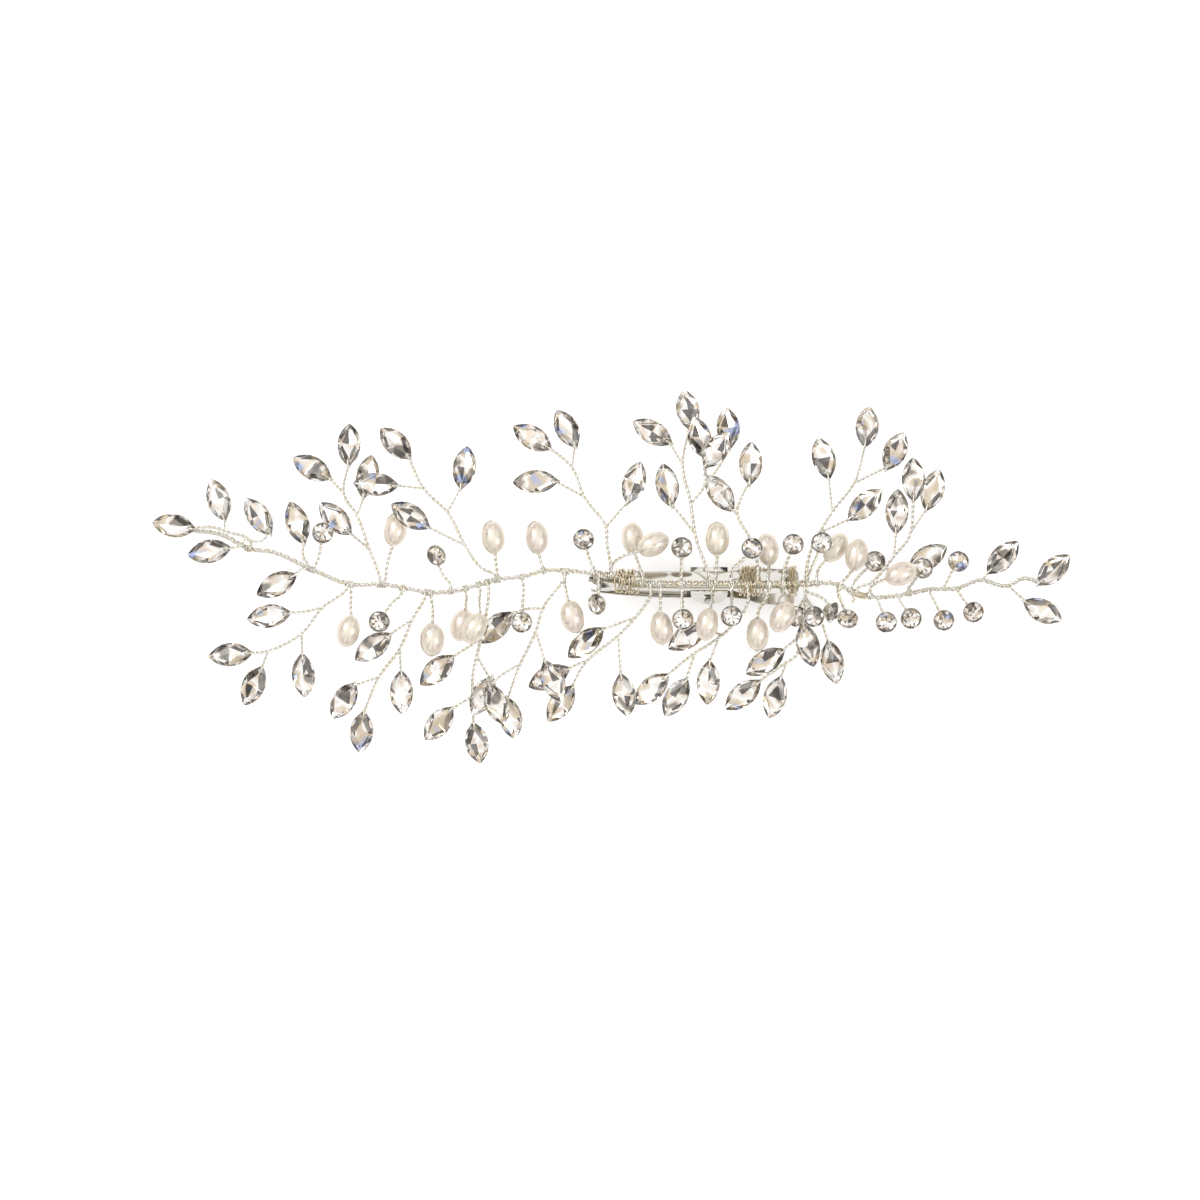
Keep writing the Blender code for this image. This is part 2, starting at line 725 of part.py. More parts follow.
def behind_the_stone(stone, come_from):
    """Where a stalk ends: in the back of a rhinestone's cup, on the side that the stalk comes from."""
    middle = raised(stone.start, stone.height)
    facing = leaning(stone) @ Vector((0, 0, 1))
    inward = raised(come_from, stone.height) - middle
    inward = (inward - facing * inward.dot(facing)).normalized()
    return middle - facing * RHINESTONE_HEIGHT * 0.2 + inward * RHINESTONE_DIAMETER * 0.34


def leaning(stone):
    return Matrix.Rotation(stone.lean, 3, Vector((*toward(stone.heading + 90), 0)))


def nearest_on(routes, point):
    """The place on the routes, seen in plan, that is nearest to a point."""
    best = None
    for route in routes:
        for start, end in zip(route, route[1:]):
            run = (end - start).to_2d()
            share = min(1, max(0, (point - start.to_2d()).dot(run) / max(run.length_squared, 1e-18)))
            place = start.lerp(end, share)
            if best is None or (place.to_2d() - point).length < (best.to_2d() - point).length:
                best = place
    return best


def make_sprig(name, stones):
    wires = [[placed(point) for point in wire] for wire in SPRIGS[name]["wires"]]
    routes = [wire_route(name, wires[0], stones, False)]
    first = linked(name, tube_mesh(routes[0], thickness_of(name, 0) / 2, 5))
    finished(first, CRYSTAL_WHITE, 0.1, 0.0)
    for k, wire in enumerate(wires[1:]):
        route = wire_route(name, wire, stones, True)
        route[0] = nearest_on(routes, wire[0])
        routes.append(route)
        tube = tube_mesh(route, thickness_of(name, 1) / 2, 4)
        combined(first, linked(f"{name}_twig{k}", tube, helper=True), "UNION")
    for k, stone in enumerate(stones):
        shape = crystal_mesh() if stone.lean is None else rhinestone_mesh()
        combined(first, stand(linked(f"{name}_stone{k}", shape, helper=True), frame_of(stone)), "UNION")


def frame_of(stone):
    """A stone's place: a crystal from its base, a pearl and a rhinestone about its middle."""
    start, end = (raised(point, stone.height) for point in (stone.start, stone.end))
    if stone.lean is not None:
        return Matrix.Translation(start) @ leaning(stone).to_4x4()
    frame = along(start, end, wobble(stone.start))
    if stone.thickness == PEARL_WIDTH:
        frame.translation = (start + end) / 2
    return frame


def make_drop(name, stone_mesh, frame, route, end, colour):
    """A drop: its stone in its frame, and its stalk joined on."""
    drop = stand(linked(name, stone_mesh), frame)
    finished(drop, colour, 0.15, 0.0)
    stalk = tube_mesh(climbing(route, DROP_LEVEL, end), BRANCH_DIAMETER / 2, 4)
    combined(drop, linked(f"{name}_stalk", stalk, helper=True), "UNION")


def make_pearl(name, stone, route):
    start, end = (raised(point, stone.height) for point in (stone.start, stone.end))
    hole = start.lerp(end, BITE / PEARL_LENGTH)
    make_drop(name, pearl_mesh(), frame_of(stone), route, hole, PEARL_IVORY)


def make_rhinestone(name, stone, route):
    cup = behind_the_stone(stone, route[-1])
    make_drop(name, rhinestone_mesh(), frame_of(stone), route, cup, CRYSTAL_WHITE)


def make_vine():
    sprigs = {name: stones_of(name) for name in SPRIGS}
    drops = {}
    for k, (middle, heading, stalk, layer) in enumerate(PEARLS):
        name = f"pearl_drop_{k + 1:02d}"
        drops[name] = (make_pearl, pearl_stone(name, middle, heading, layer), stalk)
    for k, (middle, stalk, lean, heading, layer) in enumerate(RHINESTONES):
        name = f"rhinestone_drop_{k + 1:02d}"
        drops[name] = (make_rhinestone, rhinestone_stone(name, middle, lean, heading, layer), stalk)
    wires = [("main_stem", stem_route(), STEM_DIAMETER / 2, 0.0, None)]
    for name, sprig in SPRIGS.items():
        for k, wire in enumerate(sprig["wires"]):
            route = [placed(point) for point in wire]
            carried = carried_by(route, sprigs[name]) if k else None
            wires.append((name, route, thickness_of(name, k) / 2, level_of(name), carried))
    routes = {}
    for name, (maker, stone, stalk) in drops.items():
        routes[name] = off_the_stem([placed(point) for point in stalk], DROP_LEVEL)
        middle = (stone.start + stone.end) / 2
        wires.append((name, routes[name] + [middle], BRANCH_DIAMETER / 2, DROP_LEVEL, stone))
    in_sprigs = [stone for group in sprigs.values() for stone in group]
    settle(in_sprigs + [stone for _, stone, _ in drops.values()], wires)
    make_stem()
    for name, group in sprigs.items():
        make_sprig(name, group)
    for name, (maker, stone, stalk) in drops.items():
        maker(name, stone, routes[name])


# ---------------------------------------------------------------- the clip, in its own frame at the hinge
STEM_RISE = ARM_THICKNESS / 2 + CLEARANCE + STEM_DIAMETER / 2
STEM_OFF_MIDDLE = -1.15 * MM


def clip_frame():
    """The arm's middle plane over the hinge, rolled so that the lower jaw shows along one side."""
    tilt = Matrix.Rotation(ROLL, 4, "X")
    below = tilt @ Vector((0, STEM_OFF_MIDDLE, STEM_RISE))
    return Matrix.Translation((HINGE_X, CLIP_SHIFT_Y, -below.z)) @ tilt


def slab_mesh(outline, low, high):
    """A plate: a plan outline from one height to another."""
    bm = bmesh.new()
    face = bm.faces.new([bm.verts.new((x, y, low)) for x, y in outline])
    raised_part = bmesh.ops.extrude_face_region(bm, geom=[face])
    moved = [item for item in raised_part["geom"] if isinstance(item, bmesh.types.BMVert)]
    bmesh.ops.translate(bm, vec=(0, 0, high - low), verts=moved)
    return bm


def strip_mesh(stations, thickness):
    """A bent strip: (x, middle height, half width) stations joined by rectangular sections."""
    rings = []
    for x, z, half in stations:
        rings.append([
            Vector((x, -half, z - thickness / 2)),
            Vector((x, half, z - thickness / 2)),
            Vector((x, half, z + thickness / 2)),
            Vector((x, -half, z + thickness / 2)),
        ])
    return rings_mesh(rings)


def round_bar(radius, low, high, sides=20):
    """A bar across the clip, at the hinge."""
    ring = [
        (radius * math.cos(2 * math.pi * k / sides), radius * math.sin(2 * math.pi * k / sides))
        for k in range(sides)
    ]
    return rings_mesh([[Vector((x, y, z - HINGE_DEPTH)) for x, z in ring] for y in (low, high)])


EAR_INNER = ARM_WIDTH / 2 + CLEARANCE
EAR_OUTER = EAR_INNER + EAR_THICKNESS
# Joined solids end a little inside each other's faces, so that no two faces coincide.
INSIDE = 0.9


def ear_outline():
    """An ear seen from the side: a round lobe that hangs from inside the arm."""
    steps = 10
    ring = []
    for k in range(steps + 1):
        angle = math.pi * k / steps
        hang = EAR_DEPTH * math.sin(angle) ** 0.8
        ring.append((EAR_LENGTH / 2 * 0.98 * math.cos(angle), -hang - ARM_THICKNESS * 0.2))
    return ring


def hinge_bore(name):
    """A cutter for the pin's hole through both plates' ears."""
    bar = round_bar(PIN_DIAMETER / 2 + CLEARANCE, -2 * EAR_OUTER, 2 * EAR_OUTER)
    return stand(linked(name, bar, helper=True), clip_frame())


def make_top_arm():
    half, tail_half, tip = ARM_WIDTH / 2, TAIL_WIDTH / 2, -JAW_LENGTH
    round_steps = 6
    quarters = [math.pi / 2 * k / round_steps for k in range(1, round_steps + 1)]
    neck = EAR_LENGTH / 2 + SHOULDER_GAP
    outline = [(tip + half - half * math.cos(angle), -half * math.sin(angle)) for angle in quarters]
    outline += [(neck, -half), (neck + TAIL_SHOULDER, -tail_half)]
    outline += [(TAIL_LENGTH - TAIL_CORNER, -tail_half), (TAIL_LENGTH, -tail_half + TAIL_CORNER)]
    outline = [(tip, 0)] + outline + [(x, -y) for x, y in reversed(outline)]
    arm = linked("clip_top_arm", slab_mesh(outline, -ARM_THICKNESS / 2, ARM_THICKNESS / 2))
    stand(arm, clip_frame())
    finished(arm, BRIGHT_NICKEL, 0.12, 1.0)
    reach = EAR_LENGTH / 2
    shoulder = [(-reach, -EAR_OUTER), (reach, -EAR_OUTER), (reach, EAR_OUTER), (-reach, EAR_OUTER)]
    bridge = slab_mesh(shoulder, -ARM_THICKNESS * INSIDE / 2, ARM_THICKNESS * INSIDE / 2)
    combined(arm, stand(linked("arm_bridge", bridge, helper=True), clip_frame()), "UNION")
    for side in (-1, 1):
        ring = ear_outline()
        inner, outer = sorted((side * EAR_INNER, side * EAR_OUTER * 0.995))
        ear = rings_mesh([[Vector((x, y, z)) for x, z in ring] for y in (inner, outer)])
        combined(arm, stand(linked(f"arm_ear{side}", ear, helper=True), clip_frame()), "UNION")
    combined(arm, hinge_bore("arm_bore"), "DIFFERENCE")


def jaw_stations():
    """The lower jaw from its prongs' tips to the lever's end: x, middle height and half width."""
    half, tail_half = ARM_WIDTH / 2, TAIL_WIDTH / 2
    tip_z = -ARM_THICKNESS / 2 - CLEARANCE - PRONG_THICKNESS / 2
    front = -EAR_LENGTH / 2
    start = -JAW_LENGTH + TIP_SETBACK
    steps = 8
    stations = []
    for k in range(steps + 1):
        share = k / steps
        bow = math.sin(share * math.pi / 2) ** 0.8
        z = tip_z + (-JAW_PLATE_DEPTH - tip_z) * bow
        stations.append((start + (front - start) * share, z, half))
    bend = EAR_LENGTH / 2 + LUG_WALL
    stations.append((bend, -JAW_PLATE_DEPTH, half))
    end = TAIL_LENGTH - LEVER_SETBACK
    for share, width in ((0.25, half), (0.4, tail_half), (0.7, tail_half), (1, tail_half)):
        drop = (LEVER_DROP - JAW_PLATE_DEPTH) * share**1.15
        stations.append((bend + (end - bend) * share, -JAW_PLATE_DEPTH - drop, width))
    return stations


def lug_outline():
    """A lug seen from the side: a round top over the pin on a foot that widens to the plate."""
    radius = PIN_DIAMETER / 2 + CLEARANCE + LUG_WALL
    angles = [math.pi * k / 8 for k in range(9)]
    profile = [(radius * math.cos(a), radius * math.sin(a) - HINGE_DEPTH) for a in angles]
    return profile + [(-radius * 1.3, -JAW_PLATE_DEPTH), (radius * 1.3, -JAW_PLATE_DEPTH)]


def make_lower_jaw():
    jaw = linked("clip_lower_jaw", strip_mesh(jaw_stations(), PRONG_THICKNESS))
    stand(jaw, clip_frame())
    finished(jaw, BRIGHT_NICKEL, 0.16, 1.0)
    slot_end, slot_half = -EAR_LENGTH / 2 - SLOT_TO_EAR, PRONG_SLOT / 2
    slot = [(-2 * JAW_LENGTH, -slot_half), (slot_end, -slot_half), (slot_end + slot_half, 0)]
    slot += [(slot_end, slot_half), (-2 * JAW_LENGTH, slot_half)]
    cutter = linked("prong_slot", slab_mesh(slot, -2 * LEVER_DROP, LEVER_DROP), helper=True)
    combined(jaw, stand(cutter, clip_frame()), "DIFFERENCE")
    for side in (-1, 1):
        profile = lug_outline()
        outer = side * ARM_WIDTH / 2 * 0.98
        low, high = sorted((outer - side * EAR_THICKNESS, outer))
        lug = rings_mesh([[Vector((x, y, z)) for x, z in profile] for y in (low, high)])
        combined(jaw, stand(linked(f"jaw_lug{side}", lug, helper=True), clip_frame()), "UNION")
    combined(jaw, hinge_bore("jaw_bore"), "DIFFERENCE")


def make_pin():
    shank = PIN_DIAMETER / 2
    head = shank + PIN_HEAD
    reach = EAR_OUTER + CLEARANCE
    end = reach + PIN_HEAD
    steps = [(-end, head), (-reach, head), (-reach, shank), (reach, shank), (reach, head), (end, head)]
    turns = [2 * math.pi * k / 16 for k in range(16)]
    rings = [
        [Vector((r * math.cos(turn), y, r * math.sin(turn) - HINGE_DEPTH)) for turn in turns]
        for y, r in steps
    ]
    pin = linked("hinge_pin", rings_mesh(rings))
    finished(stand(pin, clip_frame()), BRIGHT_NICKEL, 0.2, 1.0)


def make_spring():
    """Coils round the pin, with a leg under the arm and a leg on the lever."""
    mean = PIN_DIAMETER / 2 + CLEARANCE + SPRING_WIRE / 2
    inside = ARM_WIDTH / 2 * 0.98 - EAR_THICKNESS - CLEARANCE - SPRING_WIRE / 2
    leg = EAR_LENGTH / 2 + SPRING_LEG_REACH
    sides_of_a_turn = 10
    steps = round(SPRING_TURNS * sides_of_a_turn)
    route = [Vector((leg, -inside, -ARM_THICKNESS / 2 - CLEARANCE - SPRING_WIRE / 2))]
    for k in range(steps + 1):
        angle = math.pi / 2 - 2 * math.pi * k / sides_of_a_turn
        y = -inside + 2 * inside * k / steps
        route.append(Vector((mean * math.cos(angle), y, mean * math.sin(angle) - HINGE_DEPTH)))
    lever_top = -JAW_PLATE_DEPTH + PRONG_THICKNESS / 2 + CLEARANCE + SPRING_WIRE / 2
    route.append(Vector((leg * 0.6, inside, lever_top)))
    spring = linked("torsion_spring", coil_mesh(route, SPRING_WIRE / 2, 5))
    finished(stand(spring, clip_frame()), BRIGHT_NICKEL, 0.25, 1.0)


def coil_mesh(route, radius, sides):
    """A tube along a route that winds round Y."""
    rings = []
    for i, point in enumerate(route):
        ahead = (route[min(i + 1, len(route) - 1)] - route[max(i - 1, 0)]).normalized()
        side = ahead.cross(Vector((0, 1, 0))).normalized()
        other = side.cross(ahead)
        rings.append([
            point
            + side * radius * math.cos(2 * math.pi * k / sides)
            + other * radius * math.sin(2 * math.pi * k / sides)
            for k in range(sides)
        ])
    return rings_mesh(rings)


def stem_in_clip(x):
    """The stem's middle in the clip's frame, at a distance along the clip from the hinge."""
    route, at = stem_route(), HINGE_X + x
    for start, end in zip(route, route[1:]):
        if start.x <= at <= end.x:
            return clip_frame().inverted() @ raised(start.lerp(end, (at - start.x) / (end.x - start.x)), 0)


def taut_ring(x, rounds, distance):
    """A taut ring at x round some circles (y, z, radius), at a distance outside them."""
    steps = 20
    points = []
    for k in range(steps):
        angle = 2 * math.pi * k / steps
        out_y, out_z = math.cos(angle), math.sin(angle)
        y, z, radius = max(rounds, key=lambda each: each[0] * out_y + each[1] * out_z + each[2])
        points.append(Vector((x, y + out_y * (radius + distance), z + out_z * (radius + distance))))
    return points


def make_lashing(name, start, end):
    """A sleeve of wire turns round the arm and the stem, open through its middle."""
    half = (TAIL_WIDTH if start > 0 else ARM_WIDTH) / 2
    rounds = [(y, z, 0) for y in (-half, half) for z in (-ARM_THICKNESS / 2, ARM_THICKNESS / 2)]
    rounds += [(*stem_in_clip(x).yz, STEM_DIAMETER / 2) for x in (start, end)]
    outer = [taut_ring(x, rounds, CLEARANCE + LASHING_WIRE) for x in (start, end)]
    inner = [taut_ring(x, rounds, CLEARANCE) for x in (end, start)]
    bm = rings_mesh(outer + inner + outer[:1], closed_ends=False)
    bmesh.ops.remove_doubles(bm, verts=bm.verts, dist=0.001 * MM)
    lashing = linked(name, bm)
    finished(stand(lashing, clip_frame()), CHAMPAGNE_WIRE, 0.3, 1.0)


def rest_on_the_ground():
    """Moves the frame so that the finished parts stand on z = 0, with the origin under their middle."""
    bpy.context.view_layer.update()
    graph = bpy.context.evaluated_depsgraph_get()
    corners = []
    for obj in bpy.data.objects:
        if obj.type == "MESH" and not obj.hide_render:
            shape = obj.evaluated_get(graph)
            mesh = shape.to_mesh()
            corners += [shape.matrix_world @ vert.co for vert in mesh.vertices]
            shape.to_mesh_clear()
    low = Vector([min(corner[i] for corner in corners) for i in range(3)])
    high = Vector([max(corner[i] for corner in corners) for i in range(3)])
    ROOT.location = (-(low.x + high.x) / 2, -(low.y + high.y) / 2, -low.z)
    bpy.context.view_layer.update()


make_vine()
make_top_arm()
make_lower_jaw()
make_pin()
make_spring()
for lashing_name, (lashing_start, lashing_end) in LASHINGS.items():
    make_lashing(lashing_name, lashing_start * MM, lashing_end * MM)
rest_on_the_ground()
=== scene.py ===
"""A rhinestone hair clip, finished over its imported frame.

Cut crystals, pearls and claw-set rhinestones stand on twisted wire, lashed to a sprung clip.  Each group
of pieces has its own operator, and their sizes and colours are properties of the scene.  Lengths are
metres; the layout lists are millimetres in plan, drawn from the middle of the clip.
"""

import math

import bpy
from mathutils import Matrix, Vector


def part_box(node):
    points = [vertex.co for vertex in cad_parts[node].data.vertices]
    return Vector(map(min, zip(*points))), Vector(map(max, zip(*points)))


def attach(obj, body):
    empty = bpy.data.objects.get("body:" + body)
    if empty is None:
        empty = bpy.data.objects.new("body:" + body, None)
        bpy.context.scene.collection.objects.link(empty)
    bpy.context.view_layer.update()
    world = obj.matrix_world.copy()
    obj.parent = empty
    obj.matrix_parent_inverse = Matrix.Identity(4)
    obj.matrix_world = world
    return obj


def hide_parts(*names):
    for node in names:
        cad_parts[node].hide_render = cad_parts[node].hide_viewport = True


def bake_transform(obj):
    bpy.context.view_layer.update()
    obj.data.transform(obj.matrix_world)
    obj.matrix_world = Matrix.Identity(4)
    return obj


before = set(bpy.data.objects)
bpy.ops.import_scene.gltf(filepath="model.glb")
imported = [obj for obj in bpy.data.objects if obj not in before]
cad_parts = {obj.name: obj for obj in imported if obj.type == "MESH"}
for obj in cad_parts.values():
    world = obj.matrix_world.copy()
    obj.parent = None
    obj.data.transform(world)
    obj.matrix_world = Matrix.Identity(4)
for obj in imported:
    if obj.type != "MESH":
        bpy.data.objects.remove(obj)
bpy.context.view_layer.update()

bl_info = {
    "name": "Rhinestone hair clip",
    "version": (1, 0, 0),
    "blender": (4, 5, 0),
    "location": "View3D > Sidebar > Hair clip",
    "description": "Models the stones, pearls, wires and clip of a hair ornament over its frame",
    "category": "Object",
}

MM = 0.001
VINE, JAW = "vine_and_arm", "lower_jaw"

# ---------------------------------------------------------------- the frame's own sizes
DOME_DROP = 10.8 * MM
DOME_HALF_WIDTH = 42 * MM
DOME_LEFT_REACH = 93 * MM
DOME_RIGHT_REACH = 58 * MM
STEM_DIAMETER = 1.1 * MM
BRANCH_DIAMETER = 0.7 * MM
TWIG_DIAMETER = 0.6 * MM
CRYSTAL = Vector((9.8, 4.9, 2.6)) * MM
PEARL = Vector((7.0, 5.0, 5.0)) * MM
CHATON_DIAMETER = 4.6 * MM
CHATON_HEIGHT = 2.6 * MM
JAW_LENGTH = 25.4 * MM
TAIL_LENGTH = 18.8 * MM
ARM_ENDS = (-JAW_LENGTH, TAIL_LENGTH)
EASED_LENGTH, EASED_CROWNS = 7.0 * MM, 3
HINGE_X = 2.9 * MM
ARM_WIDTH = 4.1 * MM
TAIL_WIDTH = 5.4 * MM
ARM_THICKNESS = 0.8 * MM
PRONG_THICKNESS = 0.7 * MM
HINGE_DEPTH = 3.0 * MM
PIN_DIAMETER = 1.2 * MM
EAR_LENGTH = 7.8 * MM
EAR_THICKNESS = 0.6 * MM
JAW_PLATE_DEPTH = 4.9 * MM
SPRING_WIRE = 0.5 * MM
SPRING_TURNS = 3.5
ROLL = math.radians(-20)
CLIP_SHIFT_Y = 0.25 * MM
CLEARANCE = 0.3 * MM
STONE_CLEARANCE = 0.8 * MM
SUNK_STEP = 2.4 * MM
BITE = 0.9 * MM
CARRY_REACH = CHATON_DIAMETER * 0.75
STALK_DEPTH, STALK_REACH = 0.2, 0.34
SLICES, FULLNESS = 5, 0.6
TINY = 1e-18
WOBBLE = math.radians(6)
WOBBLE_WAVE_X = 1.7 * MM
WOBBLE_WAVE_Y = 2.3 * MM
STEM_OFF_MIDDLE = -1.15 * MM
DROP_LEVEL = 0.35 * MM
SPRIG_LEVEL = DROP_LEVEL + BRANCH_DIAMETER + CLEARANCE + 0.1 * MM

# ---------------------------------------------------------------- layout in plan, millimetres
STEM = [
    (-106, 10.9), (-100, 10), (-94, 7), (-89, 6.3), (-80, 2.3), (-72.5, -0.5), (-66, -0.5),
    (-60, -1.5), (-56, -2.2), (-50, -1.8), (-42, 0.5), (-36.4, 1.1), (-31.4, 2.4), (-22, 1.9),
    (-17.5, 1.4), (-14, 0.1), (-10, -0.4), (20, -0.4), (25.3, -0.3), (29.1, -0.3), (33.4, -2.2),
]
# The stem's right end is tied on at a knot and carries its own stones.
TAIL = [(35.4, -2.9), (38.2, -3.2), (42.2, -2.9), (49.8, -1.5), (55, -1.3), (60, 0.4), (65.7, -0.8)]

